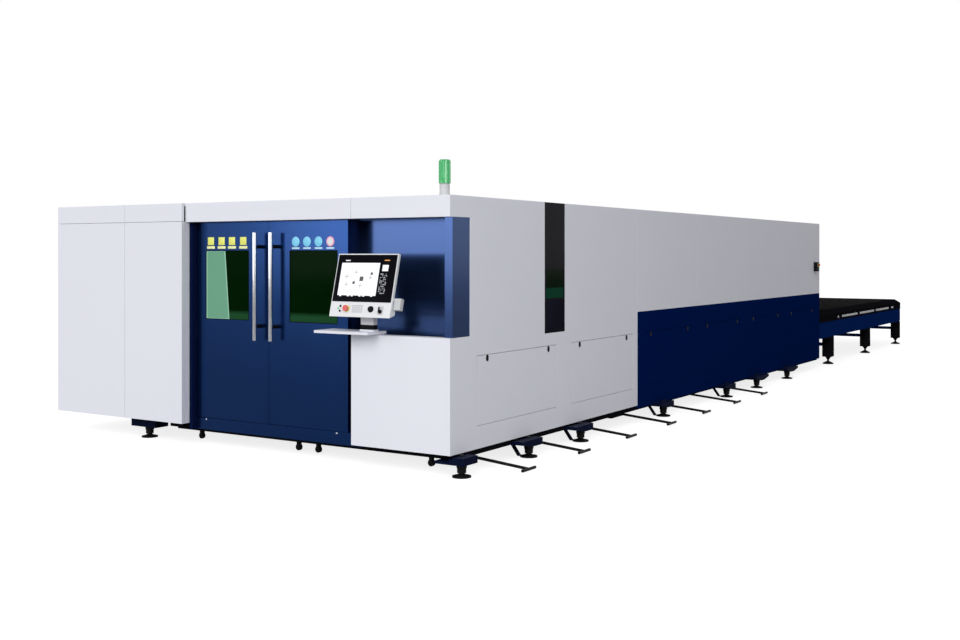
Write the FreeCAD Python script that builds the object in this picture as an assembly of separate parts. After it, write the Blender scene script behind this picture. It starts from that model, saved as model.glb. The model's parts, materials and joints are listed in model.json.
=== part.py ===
"""Fibre laser cutting machine with a closed cabin, an operator console and an exchange table.

Millimetres, +Z up. Seen from the operator's side, +X is to the right and +Y runs back along the machine to the
exchange table. The origin is in the middle of the floor that the machine covers.

Places are given as the real machine is measured: "inboard" from its right side face, "back" from its front face,
and "height" from the floor. A pair in such a place is a span from the first value to the second.
"""
import FreeCAD, Part

import math
import os

V = FreeCAD.Vector

# ---- cabin -------------------------------------------------------------------------------------------------------
body_width = 3380
body_length = 10360
body_height = 2250
front_module_length = 3550
panel = 30                      # depth of a folded panel, from its skin to its flange's edge
sheet = 3                       # thickness of the sheet that the panels are folded from
front_panel_bottom = 183
rear_panel_bottom = 153
rear_split_height = 1170        # white above, blue below
upper_panel_count = 4           # along the rear module
seam = 3
fascia_height = 174
fascia_return = 95
fascia_lip = 14
fascia_seam_inboard = 1001

# ---- laser source cabinet, front left ----------------------------------------------------------------------------
cabinet_width = 1346            # beyond the body's left side
cabinet_gap = 37                # from the closed left leaf to the cabinet's right edge
cabinet_depth = 2400
cabinet_proud = 44              # stands this far in front of the fascia
cabinet_bottom = 207
cabinet_wall = 25
cabinet_left_panel = 990
cabinet_top_band = 167
louvre_count = 8
louvre_length = 620
louvre_height = 12
louvre_pitch = 40
column_depth = 96               # ribbed return on the cabinet's right edge
column_width = 40
column_groove = 6

# ---- sliding doors -----------------------------------------------------------------------------------------------
meeting_line = 2019             # inboard distance of the line where the leaves meet
leaf_width = 900
leaf_thickness = 40
leaf_skin = 4
leaf_rim = 34
leaf_plane = 112                # back distance of the leaves' outer face
leaf_bottom = 262
leaf_top_gap = 6
leaf_gap = 4                    # between the two leaves
door_travel = 620
window_width = 545
window_bottom = 1179
window_drop = 257               # from the leaf's top to the window's
window_offset = 515             # from the meeting line to the window's centre
window_lap = 14                 # of the pane behind the skin, all round
window_glass = 8
handle_offset = 95
handle_bottom = 1010
handle_drop = 100               # from the leaf's top to the bar's
handle_radius = 20
handle_reach = 82               # leaf to the bar's centre line
standoff_radius = 15
standoff_inset = 125
hanger_width = 90
hanger_lap = 58
hanger_rise = 95
hanger_thickness = 8
hanger_inset = 150
track_height = 40
track_width = 32
track_sheet = 8
roller_radius = 18
roller_width = 16
running_gap = 0.3
kick_bottom = 151
kick_gap = 5
kick_thickness = 30
kick_sheet = 8
kick_bead = 24
kick_lap = 40                   # behind the console's cabinet
jamb_width = 34
jamb_depth = 54

# ---- operator niche and console ----------------------------------------------------------------------------------
console_cabinet_width = 995
ledge_height = 1112
ledge_depth = 108
niche_plane = 286               # the open right leaf runs between this panel and the ledge
niche_sheet = 10
niche_skirt = 110               # of the panel below the ledge
niche_return = 80               # of the panel behind the closed leaf
niche_return_back = 200
post_width = 82
post_front = 47
post_rear = 296
post_inset = 6                  # its side face lies this far inside the white side panel
ledge_sheet = 12
shelf_left = 1270
shelf_right = 700
shelf_reach = 160               # in front of the fascia
shelf_rear = 97
shelf_boss = 15                 # raised seat of the stand
shelf_thickness = 22
shelf_riser = 9
shelf_corner = 12
swivel_inboard = 790
swivel_back = -20
stand_width = 135
stand_depth = 60
stand_height = 38
stand_corner = 8
neck_rise = 164                 # of the column over its stand
arm_width = 110
arm_height = 58
console_reach = 210             # of the foremost control in front of the fascia
head_lean = 14.2                # degrees
head_middle = 759
head_width = 620
head_bottom = 1268
head_height = 514
head_edge = 26                  # housing thickness behind the display
head_foot = 62                  # and behind the control strip
head_foot_rise = 34             # of its underside from front to rear
cover_rim = 6                   # of the housing round its rear cover
cover_plate = 6
head_box_width = 420
head_box_depth = 42
head_box_slope = 40
display_height = 395
display_bottom = 126
display_margin = 9
display_thickness = 4
strip_height = 112              # control strip under the display
key_columns = 5
key_rows = 4
key_left = -78
key_bottom = 38
key_width = 14
key_depth = 10
key_pitch = 22
key_row_pitch = 17
key_rise = 2
control_gap = 0.4
e_stop_radius = 25
e_stop_height = 26
e_stop_press = 4
e_stop_across = -138            # from the head's middle, and up its face
e_stop_up = 68
stem_radius = 9
collar_radius = 16
collar_height = 8
knob_radius = 22
knob_skirt = 4
knob_skirt_height = 6
knob_height = 16
knob_across = 111
knob_up = 68
joystick_width = 32
joystick_bar = 11
joystick_height = 36
joystick_reach = 26
joystick_root = 9
joystick_across = 208
joystick_up = 50
module_gap = 9
module_width = 64
module_bottom = 72
module_height = 94
module_rear = 60
module_front = 20
module_rib_count = 5
module_rib_pitch = 18
module_groove = 4

# ---- window strip, covers and signs of use on the side -----------------------------------------------------------
strip_front = 1539
strip_rear = 1923
strip_bottom = 1060
strip_glass_bottom = 1376
strip_glass_top = 1642
strip_glass_margin = 24
cover_first = 395               # from the front of the module to its first cover
cover_front_end = 117           # from its last cover to the module's rear
cover_rear_start = 181
cover_rear_end = 255
cover_spacing = 298             # between two covers
cover_bottom = 369
cover_height = 578
cover_gap = 4
cover_thickness = 20
cover_lip = 25
cover_frame = 12                # border round a cover's opening
cover_count = 6
front_covers = 2
latch_inset = 160
latch_drop = 30
latch_width = 36
latch_length = 54
latch_thickness = 4
side_box_inset = 256            # from the rear of the body
side_box_height = 1584
side_box_width = 120
side_box_length = 140
side_box_depth = 55
side_box_corner = 10
side_push_drop = 35
side_push_height = 5
side_push_radius = 11
side_button_radius = 17
side_button_height = 26
e_stop_drop = 28                # from the box's middle up to its emergency stop

# ---- signal tower ------------------------------------------------------------------------------------------------
tower_inboard = 105
tower_back = 80
tower_base_radius = 41
tower_base_height = 95
tower_lens_radius = 49
tower_rise = 285
tower_flutes = 12
tower_flute_radius = 5

# ---- bed and feet ------------------------------------------------------------------------------------------------
bed_beam_width = 140
bed_beam_bottom = 130
bed_beam_top = 950
bed_front = 180
bed_beam_wall = 16
bed_bay_count = 9
cross_beam_height = 130
cross_beam_width = 120
bed_splice = (2990, 3290)
bed_splice_height = 18
pocket_spacing = 120
sill_bottom = 124
sill_height = 80
sill_depth = 70
sill_back = 145
foot_outset = 25
foot_pad_radius = 77
foot_pad_height = 20
foot_stem_radius = 20
foot_nut_radius = 42
foot_nut_height = 33
foot_nut_groove = 5
foot_top_nut_radius = 17
foot_top_nut_height = 10
foot_hole_gap = 2
bracket_reach = 110
bracket_ahead = 250             # from the foot to its bracket's front end
bracket_behind = 100
bracket_taper = 190
front_bracket = 105             # half the length of the front one
bracket_top = 150
bracket_nose_top = 168
bracket_bottom = 107
bracket_gap = 2                 # to the side panel
bracket_floor = 14
bracket_wall = 12
strap_width = 30
strap_top = (135, 163)          # inboard spans of the strap's two ends
strap_foot = (56, 84)
rear_feet = (3060, 1740)        # ahead of the body's rear
front_foot_back = 130
cabinet_foot_inset = 260        # front foot, from the body's left side
cabinet_foot_outset = 166       # rear feet, from the cabinet's left wall
cabinet_front_foot = 183
cabinet_rear_feet = (1700, 2250)
cabinet_front_bracket = (340, 160)
cabinet_rear_bracket = (160, 160)
cabinet_bracket_height = 100
cabinet_bracket_floor = 20

# ---- scrap carts -------------------------------------------------------------------------------------------------
cart_count = 7
cart_first = 575                # back distance of the first drawbar
cart_pitch = 990
cart_width = 480
cart_right = 400
cart_left_gap = 210             # to the body's left side
cart_link = 150                 # between the two trays of one cart
cart_link_width = 60
cart_link_height = 24
cart_floor = 80
cart_floor_width = 300
cart_rim = 120
cart_lip = 14
cart_lip_height = 6
cart_sheet = 5
caster_radius = 30
caster_width = 28
caster_cheek = 5
caster_crown = 64               # height of its crown's underside
caster_inset = 40
caster_offset = 195
caster_floor_gap = 1
drawbar_reach = 400             # beyond the right side face
drawbar_length = 210            # of the tee
drawbar_radius = 13
drawbar_height = 100            # at the cart
drawbar_lug = 30
tee_height = 30
foot_to_cart = 120

# ---- pallets, rails and exchange table ---------------------------------------------------------------------------
table_length = 5710
table_beam_top = 700
table_beam_bottom = 450
table_beam_width = 120
table_beam_inset = 5
table_end_plate = 30
level_gap = 230                 # between the two pallet levels
rail_thickness = 10
rail_reach = 45                 # of the ledge inside the bed beam
pallet_length = 7850
pallet_margin = 215             # inboard distance of its side member
pallet_member_width = 80
pallet_member_height = 85
pallet_end_width = 70
pallet_wheel_radius = 34
pallet_wheel_width = 28
pallet_wheel_gap = 1
pallet_wheel_count = 6
pallet_wheel_inset = 300
pallet_stop_gap = 10            # to the table's end plate
slat_count = 20
slat_inset = 100
slat_teeth = 14
slat_thickness = 6
slat_bottom = 45                # above the rail
slat_top = 185
slat_tooth = 45
pallet_travel = 7850
first_leg = 775                 # behind the body
leg_width = 145
leg_length = 170
leg_bottom = 119
leg_pad_radius = 85
leg_pad_rim = 14
leg_foot_waist = 17
leg_foot_top = 50
cross_tie_height = 50
cross_tie_width = 80
haunch_length = 600             # tapered plate ahead of each leg
haunch_drop = 50
haunch_sheet = 12
flange = 24
end_plate_foot = 20
guard_sheet = 6
guard_height = 118
guard_slope_in = 110
guard_slope_up = 62
strip_spans = ((1070, 1130), (1330, 2340), (2500, 3530), (3690, 4680), (4910, 5080))   # behind the body
strip_bar_height = 34
strip_bar_thickness = 4
strip_bar_rise = 51             # of its middle over the beam

# ---- gantry ------------------------------------------------------------------------------------------------------
gantry_rest = 620
gantry_rail_width = 34
gantry_rail_height = 28
gantry_rail_front = 350
gantry_rail_end = 1960          # ahead of the body's rear
gantry_gap = 0.5
gantry_truck_length = 560
gantry_truck_height = 80
gantry_beam_depth = 280
gantry_beam_height = 340
gantry_lightening = 9
gantry_inset = 12
gantry_wall = 60
rack_width = 22
rack_height = 20
x_rail_size = 24
carriage_width = 380
carriage_thickness = 36
carriage_height = 430
carriage_drop = 30
motor_inboard = 120
motor_rise = 250
motor_length = 90
motor_radius = 45
head_body_width = 120
head_body_depth = 90
head_body_rise = 20
head_body_height = 310
nozzle_height = 905
nozzle_length = 26
nozzle_radius = 8
head_radius = 34

# ---- laser source, inside its cabinet ----------------------------------------------------------------------------
source_gap = 320                # from the body's left side
source_width = 760
source_back = 700
source_depth = 900
source_frame = 40
source_modules = 5
source_pitch = 240
source_gap_height = 14
source_grip = 26

# ---- rear wall and shutter ---------------------------------------------------------------------------------------
opening_top = 1250
opening_sill = 380
shutter_bottom = 905
shutter_top = 1340
shutter_thickness = 30
shutter_gap = 0.5

# ---- what follows from the driving sizes -------------------------------------------------------------------------
cabinet_outer = body_width + cabinet_width
cabinet_inner = meeting_line + leaf_width + cabinet_gap
table_end = body_length + table_length
overall_width = cabinet_outer + drawbar_reach
overall_length = console_reach + table_end
right_face = overall_width / 2 - drawbar_reach
front_face = console_reach - overall_length / 2
fascia_bottom = body_height - fascia_height
leaf_top = fascia_bottom - leaf_top_gap
leaf_rear = leaf_plane + leaf_thickness
window_top = leaf_top - window_drop
handle_top = leaf_top - handle_drop
niche_rear = niche_plane + niche_sheet
front_cover_pitch = (front_module_length - cover_first - cover_front_end + cover_spacing) / front_covers
rear_cover_room = body_length - front_module_length - cover_rear_start - cover_rear_end + cover_spacing
rear_cover_pitch = rear_cover_room / (cover_count - front_covers)
side_box_back = body_length - side_box_inset
tower_top = body_height + tower_rise
cart_left = body_width - cart_left_gap
leg_backs = (body_length + first_leg, body_length + (first_leg + table_length - leg_length / 2) / 2,
             table_end - leg_length / 2)
guard_top = table_beam_top + guard_height
tilt = math.radians(head_lean)
head_length = head_height / math.cos(tilt)
head_front = -console_reach + e_stop_height * math.cos(tilt) - (e_stop_up - e_stop_radius) * math.sin(tilt)
shelf_top = ledge_height + shelf_riser + shelf_thickness
track_bottom = fascia_bottom + fascia_lip
track_top = track_bottom + track_height
pocket_rear = leaf_rear + 80    # nothing but the leaf, its hangers and the track stands ahead of this
bed_outer = panel
bed_inner = panel + bed_beam_width
niche_left = meeting_line - leaf_width
kick_top = leaf_bottom - kick_gap


# ---- helpers -----------------------------------------------------------------------------------------------------
def x_at(inboard):
    return right_face - inboard


def y_at(back):
    return front_face + back


def point(inboard, back, height):
    return V(x_at(inboard), y_at(back), height)


def slab(inboard, back, height):
    """A straight plate or bar over three spans."""
    corner = point(inboard[1], back[0], height[0])
    return Part.makeBox(inboard[1] - inboard[0], back[1] - back[0], height[1] - height[0], corner)


def side_face(points, inboard):
    """A flat outline seen from the side, as (back, height) points."""
    return Part.Face(Part.makePolygon([point(inboard, b, h) for b, h in points + points[:1]]))


def side_profile(points, inboard):
    """A side outline pushed across a span of the width."""
    return side_face(points, inboard[1]).extrude(V(inboard[1] - inboard[0], 0, 0))


def front_profile(points, back):
    """A shape drawn seen from the front, as (inboard, height) points, pushed along a span of the length."""
    wire = Part.makePolygon([point(i, back[0], h) for i, h in points + points[:1]])
    return Part.Face(wire).extrude(V(0, back[1] - back[0], 0))


# the span of a pan that its skin closes, and at which end of it
SKIN_SIDES = {
    "right": ("inboard", "low"), "left": ("inboard", "high"), "front": ("back", "low"), "rear": ("back", "high"),
    "bottom": ("height", "low"), "top": ("height", "high"),
}


def pan(inboard, back, height, skin):
    """A folded sheet pan: a skin on one side and flanges all round it, open on the side opposite."""
    spans = {"inboard": inboard, "back": back, "height": height}
    room = {name: (low + sheet, high - sheet) for name, (low, high) in spans.items()}
    axis, end = SKIN_SIDES[skin]
    low, high = spans[axis]
    room[axis] = (low + sheet, high + panel) if end == "low" else (low - panel, high - sheet)
    return slab(**spans).cut(slab(**room))


def plan_profile(points, height):
    """A shape drawn seen from above, as (inboard, back) points, pushed up over a span of height."""
    wire = Part.makePolygon([point(i, b, height[0]) for i, b in points + points[:1]])
    return Part.Face(wire).extrude(V(0, 0, height[1] - height[0]))


def rod(start, end, radius):
    """A round bar between two places."""
    a = point(*start)
    b = point(*end)
    return Part.makeCylinder(radius, (b - a).Length, a, b - a)


def turned(profile, inboard, back):
    """A turned piece on an upright axis, from its (radius, height) outline."""
    wire = Part.makePolygon([V(x_at(inboard) + r, y_at(back), h) for r, h in profile + profile[:1]])
    return Part.Face(wire).revolve(point(inboard, back, 0), V(0, 0, 1), 360)


def other_side(shape):
    """The same piece on the left side of the body."""
    return shape.mirror(point(body_width / 2, 0, 0), V(1, 0, 0))


def both_sides(shape):
    return [shape, other_side(shape)]


def joined(first, *others):
    shape = first
    for other in others:
        shape = shape.fuse(other)
    return shape.removeSplitter()


def save(name, *shapes):
    """Writes one piece, or one group of like pieces, as its own file."""
    solids = [solid for shape in shapes for solid in shape.Solids]
    whole = solids[0] if len(solids) == 1 else Part.makeCompound(solids)
    whole.exportStep("parts/" + name + ".step")


# ---- side panels and their covers --------------------------------------------------------------------------------
def cover_span(index):
    if index < front_covers:
        start = cover_first + index * front_cover_pitch
        return start, start + front_cover_pitch - cover_spacing
    start = front_module_length + cover_rear_start + (index - front_covers) * rear_cover_pitch
    return start, start + rear_cover_pitch - cover_spacing


def with_cover_openings(shape, indices):
    """Adds each cover's stepped frame: the cover drops into the outer step and bears on the inner lip."""
    low, high = cover_bottom, cover_bottom + cover_height
    edge = cover_frame
    for index in indices:
        start, end = cover_span(index)
        frame = slab((0, panel), (start - edge, end + edge), (low - edge, high + edge))
        outer = slab((-1, cover_thickness), (start, end), (low, high))
        lip_back = (start + cover_lip, end - cover_lip)
        inner = slab((-1, panel + 1), lip_back, (low + cover_lip, high - cover_lip))
        shape = joined(shape, frame).cut(outer.fuse(inner))
    return shape


def cover(index):
    """A pan with rounded corners. Its flange bears on the lip round its opening."""
    start, end = cover_span(index)
    back = (start + cover_gap, end - cover_gap)
    height = (cover_bottom + cover_gap, cover_bottom + cover_height - cover_gap)
    tray = pan((0, cover_thickness), back, height, "right")
    outside = [start + cover_gap, end - cover_gap]
    corners = [edge for edge in tray.Edges if is_corner(edge, outside)]
    return tray.makeFillet(cover_gap, corners)


def is_corner(edge, backs):
    """Whether an edge runs across the sheet at one of these outer ends."""
    across = abs(edge.tangentAt(edge.FirstParameter).x) > 0.99
    return across and min(abs(edge.BoundBox.YMin - y_at(back)) for back in backs) < 0.1


def latch(index, from_front):
    """An oval latch cup on a cover, near one end of its top edge."""
    start, end = cover_span(index)
    back = start + latch_inset if from_front else end - latch_inset
    height = cover_bottom + cover_height - latch_drop
    half = (latch_length - latch_width) / 2
    low = rod((0, back, height - half), (-latch_thickness, back, height - half), latch_width / 2)
    high = rod((0, back, height + half), (-latch_thickness, back, height + half), latch_width / 2)
    middle = slab((-latch_thickness, 0), (back - latch_width / 2, back + latch_width / 2),
                  (height - half, height + half))
    return joined(low, high, middle)


def front_side_panels():
    """The white front module's side walls. The right one is notched for the niche and the window strip."""
    outline = [
        (0, front_panel_bottom), (front_module_length, front_panel_bottom), (front_module_length, body_height),
        (strip_rear, body_height), (strip_rear, strip_bottom), (strip_front, strip_bottom),
        (strip_front, body_height), (0, body_height), (0, fascia_bottom), (post_rear, fascia_bottom),
        (post_rear, ledge_height), (0, ledge_height),
    ]
    room = side_face(outline, sheet).makeOffset2D(-sheet, 2).extrude(V(-panel, 0, 0))
    right = with_cover_openings(side_profile(outline, (0, panel)).cut(room), range(front_covers))
    left = pan((0, panel), (cabinet_depth, front_module_length), (front_panel_bottom, body_height), "right")
    save("front_side_panels", right, other_side(left))


def side_window():
    """The black window strip with its green pane, let into the side wall."""
    frame = pan((0, panel), (strip_front, strip_rear), (strip_bottom, body_height), "right")
    back = (strip_front + strip_glass_margin, strip_rear - strip_glass_margin)
    height = (strip_glass_bottom, strip_glass_top)
    save("side_window_frame", frame.cut(slab((-1, panel), back, height)))
    lap = (strip_glass_margin - sheet) / 2
    pane = slab((sheet, sheet + window_glass), (back[0] - lap, back[1] + lap), (height[0] - lap, height[1] + lap))
    save("side_window_glass", pane)


def upper_panels():
    """White panels of the rear module: the upper part of both sides, and of the rear wall over the opening."""
    width = (body_length - front_module_length) / upper_panel_count
    sheets = []
    for index in range(upper_panel_count):
        start = front_module_length + index * width + seam
        side = pan((0, panel), (start, start + width - seam), (rear_split_height, body_height), "right")
        sheets += both_sides(side)
    rear = (body_length - panel, body_length)
    sheets.append(pan((panel, body_width - panel), rear, (opening_top, body_height), "rear"))
    save("upper_panels", *sheets)


def lower_panels():
    """Blue panels of the rear module: the lower part of both sides, and the posts and sill of the rear opening."""
    side = pan((0, panel), (front_module_length + seam, body_length), (rear_panel_bottom, rear_split_height), "right")
    sides = both_sides(with_cover_openings(side, range(front_covers, cover_count)))
    rear = (body_length - panel, body_length)
    posts = both_sides(pan((panel, bed_inner), rear, (rear_panel_bottom, opening_top), "rear"))
    sill = pan((bed_inner, body_width - bed_inner), rear, (rear_panel_bottom, opening_sill), "rear")
    save("lower_panels", *sides, *posts, sill)


def access_covers():
    white = [cover(index) for index in range(front_covers)]
    save("front_access_covers", *white)
    blue = []
    for index in range(front_covers, cover_count):
        blue += both_sides(cover(index))
    save("rear_access_covers", *blue)
    latches = []
    for index in range(cover_count):
        for from_front in (True, False):
            cup = latch(index, from_front)
            latches += [cup] if index < front_covers else both_sides(cup)
    save("cover_latches", *latches)


def roof_panels():
    width = (body_length - front_module_length) / upper_panel_count
    stops = [panel, front_module_length / 2, front_module_length]
    stops += [front_module_length + width * (index + 1) for index in range(upper_panel_count)]
    stops[-1] = body_length - panel
    sheets = []
    for start, end in zip(stops, stops[1:]):
        sheets.append(pan((panel, body_width - panel), (start, end - seam), (body_height - panel, body_height), "top"))
    save("roof_panels", *sheets)


def rear_shutter():
    """Folded leaf inside the rear wall, over the opening that the pallets pass through. It lifts."""
    rear = body_length - panel - shutter_gap
    span = (bed_inner + shutter_gap, body_width - bed_inner - shutter_gap)
    leaf = pan(span, (rear - shutter_thickness, rear), (shutter_bottom, shutter_top), "rear")
    middle = (shutter_bottom + shutter_top) / 2
    rib = slab((span[0] + sheet, span[1] - sheet), (rear - shutter_thickness, rear - sheet), (middle - 20, middle + 20))
    save("rear_shutter", joined(leaf, rib))


def laser_source():
    """Rack of pump modules that makes the beam, on the source cabinet's floor, with its front to the left wall."""
    floor = cabinet_bottom + sheet
    back = (source_back, source_back + source_depth)
    inboard = (body_width + source_gap, body_width + source_gap + source_width)
    top = floor + 2 * source_frame + source_modules * source_pitch
    rack = slab(inboard, back, (floor, top))
    room = slab((inboard[0] - 1, inboard[1] + 1), (back[0] + source_frame, back[1] - source_frame),
                (floor + source_frame, top - source_frame))
    modules = []
    for index in range(source_modules):
        low = floor + source_frame + index * source_pitch
        body = slab((inboard[0] + source_frame / 2, inboard[1]), (back[0] + source_frame, back[1] - source_frame),
                    (low, low + source_pitch - source_gap_height))
        grips = []
        for place in (back[0] + 2 * source_frame, back[1] - 2 * source_frame - source_grip):
            height = (low + source_frame, low + source_pitch - source_frame - source_gap_height)
            grips.append(slab((inboard[1], inboard[1] + source_grip), (place, place + source_grip), height))
        modules.append(joined(body, *grips))
    save("laser_source", rack.cut(room), *modules)


# ---- front -------------------------------------------------------------------------------------------------------
def front_fascia():
    """Two folded sheets over the doors and the niche, with a return under them that hides the door track."""
    outline = [
        (0, fascia_bottom), (fascia_return, fascia_bottom), (fascia_return, track_bottom),
        (panel, track_bottom), (panel, body_height), (0, body_height),
    ]
    left = side_profile(outline, (fascia_seam_inboard, cabinet_inner))
    right = side_profile(outline, (panel, fascia_seam_inboard - seam))
    save("front_fascia", left, right)


def leaf_span(side):
    """Inboard span of a leaf: side is 1 for the left leaf and -1 for the right one."""
    near = meeting_line + side * leaf_gap / 2
    far = meeting_line + side * leaf_width
    return min(near, far), max(near, far)


def door(side, name):
    """One sliding leaf: a folded pan with its window opening, and two hangers that ride in the top track."""
    span = leaf_span(side)
    skin_rear = leaf_plane + leaf_skin
    pan = slab(span, (leaf_plane, leaf_rear), (leaf_bottom, leaf_top))
    hollow = slab((span[0] + leaf_rim, span[1] - leaf_rim), (skin_rear, leaf_rear + 1),
                  (leaf_bottom + leaf_rim, leaf_top - leaf_rim))
    centre = meeting_line + side * window_offset
    width = (centre - window_width / 2, centre + window_width / 2)
    height = (window_bottom, window_top)
    opening = slab(width, (leaf_plane - 1, leaf_rear), height)
    hangers = [hanger(span[0] + hanger_inset), hanger(span[1] - hanger_inset)]
    save("door_" + name, pan.cut(hollow).cut(opening), *hangers)
    lap = window_lap
    pane_height = (height[0] - lap, height[1] + lap)
    save("window_" + name, slab((width[0] - lap, width[1] + lap), (skin_rear, skin_rear + window_glass), pane_height))
    grip = meeting_line + side * handle_offset
    bar_back = leaf_plane - handle_reach
    bar = rod((grip, bar_back, handle_bottom), (grip, bar_back, handle_top), handle_radius)
    levels = (handle_bottom + standoff_inset, handle_top - standoff_inset)
    arms = [rod((grip, bar_back, level), (grip, leaf_plane, level), standoff_radius) for level in levels]
    save("handle_" + name, joined(bar, *arms))


def hanger(place):
    """Plate on a leaf's rear with the roller that runs on the track."""
    plate = slab((place - hanger_width / 2, place + hanger_width / 2), (leaf_rear, leaf_rear + hanger_thickness),
                 (leaf_top - hanger_lap, leaf_top + hanger_rise))
    front = leaf_rear + hanger_thickness
    axle = track_top + roller_radius + running_gap
    return joined(plate, rod((place, front, axle), (place, front + roller_width, axle), roller_radius))


def door_frame():
    """Left jamb, top track and the floor guide of the sliding leaves."""
    jamb = slab((cabinet_inner - jamb_width, cabinet_inner), (ledge_depth - jamb_depth, ledge_depth),
                (kick_bottom, fascia_bottom))
    front = leaf_rear + hanger_thickness + running_gap
    span = (panel, leaf_span(1)[1] + door_travel)
    hook = [
        (front, track_bottom), (front + track_width, track_bottom), (front + track_width, body_height - panel),
        (front + track_width - track_sheet, body_height - panel), (front + track_width - track_sheet, track_top),
        (front, track_top),
    ]
    save("door_frame", jamb, side_profile(hook, span))


def kick_panel():
    """Blue plinth under the leaves. A guide bead on its top edge runs behind them."""
    guide = leaf_rear + running_gap
    outline = [
        (ledge_depth, kick_bottom), (ledge_depth + kick_thickness, kick_bottom),
        (ledge_depth + kick_thickness, kick_top - kick_sheet), (guide + kick_sheet, kick_top - kick_sheet),
        (guide + kick_sheet, kick_top + kick_bead), (guide, kick_top + kick_bead), (guide, kick_top),
        (ledge_depth, kick_top),
    ]
    save("kick_panel", side_profile(outline, (console_cabinet_width - kick_lap, cabinet_inner)))


def niche_panel():
    """The niche's blue back, with a return at its left end, and the corner post folded on at its right."""
    left = niche_left + niche_return
    plan = [
        (left, niche_return_back), (left - niche_sheet, niche_return_back), (left - niche_sheet, niche_plane),
        (post_inset + niche_sheet, niche_plane), (post_inset + niche_sheet, post_front + niche_sheet),
        (post_width, post_front + niche_sheet), (post_width, post_front), (post_inset, post_front),
        (post_inset, niche_rear), (left, niche_rear),
    ]
    whole = plan_profile(plan, (ledge_height, fascia_bottom))
    inner = panel + sheet
    back = plan_profile([
        (left, niche_return_back), (left - niche_sheet, niche_return_back), (left - niche_sheet, niche_plane),
        (inner, niche_plane), (inner, niche_rear), (left, niche_rear),
    ], (ledge_height - niche_skirt, track_top))
    save("niche_panel", joined(whole, back))


def console_cabinet():
    """White front cover below the niche: a pan with its hollow to the rear, whose top is the ledge."""
    pan = slab((panel, console_cabinet_width), (0, ledge_depth), (front_panel_bottom, ledge_height))
    hollow = slab((2 * panel, console_cabinet_width - panel), (panel, ledge_depth + 1),
                  (front_panel_bottom + panel, ledge_height - ledge_sheet))
    save("console_cabinet", pan.cut(hollow))


def console_shelf():
    """Plate in front of the niche, on a riser that stands on the ledge, with a raised seat for the stand."""
    low = ledge_height + shelf_riser
    plate = slab((shelf_right, shelf_left), (-shelf_reach, shelf_rear), (low, shelf_top))
    corners = [e for e in plate.Edges if abs(e.tangentAt(e.FirstParameter).z) > 0.99 and e.BoundBox.YMin < y_at(0)]
    plate = plate.makeFillet(shelf_corner, corners)
    span = (shelf_right + shelf_corner, console_cabinet_width - shelf_corner)
    riser = slab(span, (shelf_corner, shelf_rear - shelf_corner), (ledge_height, low))
    seat = stand_block(stand_width + shelf_corner, stand_depth + shelf_corner, (shelf_top, shelf_top + shelf_boss))
    save("console_shelf", joined(plate, riser, seat))


def stand_block(width, depth, height):
    """A block round the swivel axis with rounded upright edges."""
    inboard = (swivel_inboard - width / 2, swivel_inboard + width / 2)
    block = slab(inboard, (swivel_back - depth / 2, swivel_back + depth / 2), height)
    upright = [edge for edge in block.Edges if abs(edge.tangentAt(edge.FirstParameter).z) > 0.99]
    return block.makeFillet(stand_corner, upright)


def cabinet_front():
    """The source cabinet's four front panels and the ribbed column that closes their right edge."""
    back = (-cabinet_proud, panel - cabinet_proud)
    split = cabinet_outer - cabinet_left_panel
    band = body_height - cabinet_top_band
    sheets = []
    for span in ((cabinet_inner, split - seam), (split, cabinet_outer)):
        sheets.append(pan(span, back, (cabinet_bottom, band - seam), "front"))
        sheets.append(pan(span, back, (band, body_height), "front"))
    front = panel - cabinet_proud
    rear = column_depth - cabinet_proud
    mid = (front + rear) / 2
    inner = cabinet_inner + column_groove
    plan = [
        (cabinet_inner, front), (cabinet_inner, front + 16), (inner, front + 16), (inner, front + 24),
        (cabinet_inner, front + 24), (cabinet_inner, mid + 16), (inner, mid + 16), (inner, mid + 22),
        (cabinet_inner, mid + 22), (cabinet_inner, rear), (cabinet_inner + column_width, rear),
        (cabinet_inner + column_width, front),
    ]
    column = plan_profile(plan, (cabinet_bottom, fascia_bottom))
    save("cabinet_front", *sheets, column)


def cabinet_walls():
    """Left wall with louvres, back wall, roof and floor of the source cabinet."""
    front = panel - cabinet_proud
    inner = cabinet_outer - cabinet_wall
    left = pan((inner, cabinet_outer), (front, cabinet_depth), (cabinet_bottom, body_height), "left")
    middle = (front + cabinet_depth) / 2
    for bay in (-1, 1):
        centre = middle + bay * cabinet_depth / 4
        for row in range(louvre_count):
            height = cabinet_bottom + 260 + row * louvre_pitch
            slot = slab((inner - 1, cabinet_outer + 1), (centre - louvre_length / 2, centre + louvre_length / 2),
                        (height, height + louvre_height))
            left = left.cut(slot)
    rear = (cabinet_depth - cabinet_wall, cabinet_depth)
    back = pan((body_width, inner), rear, (cabinet_bottom, body_height), "rear")
    top_height = (body_height - cabinet_wall, body_height)
    roof = pan((body_width, inner), (front, rear[0]), top_height, "top")
    lap = slab((cabinet_inner, body_width), (front, panel), top_height)
    floor = pan((body_width, inner), (front, rear[0]), (cabinet_bottom, cabinet_bottom + cabinet_wall), "bottom")
    corner = slab((body_width - panel, body_width), (panel, pocket_rear), top_height)
    shared = pan((body_width - panel, body_width), (pocket_rear, cabinet_depth), (front_panel_bottom, body_height), "left")
    save("cabinet_walls", left, back, joined(roof, lap, corner), floor, shared)


# ---- console head ------------------------------------------------------------------------------------------------
def on_head(across, up, out=0):
    """A place on the tilted front face: across from its middle towards the right, up from its lower edge."""
    back = head_front + up * math.sin(tilt) - out * math.cos(tilt)
    height = head_bottom + up * math.cos(tilt) + out * math.sin(tilt)
    return head_middle - across, back, height


def face_rod(across, up, out, radius):
    """A round piece that stands square on the head's front face."""
    return rod(on_head(across, up, out[0]), on_head(across, up, out[1]), radius)


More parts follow.
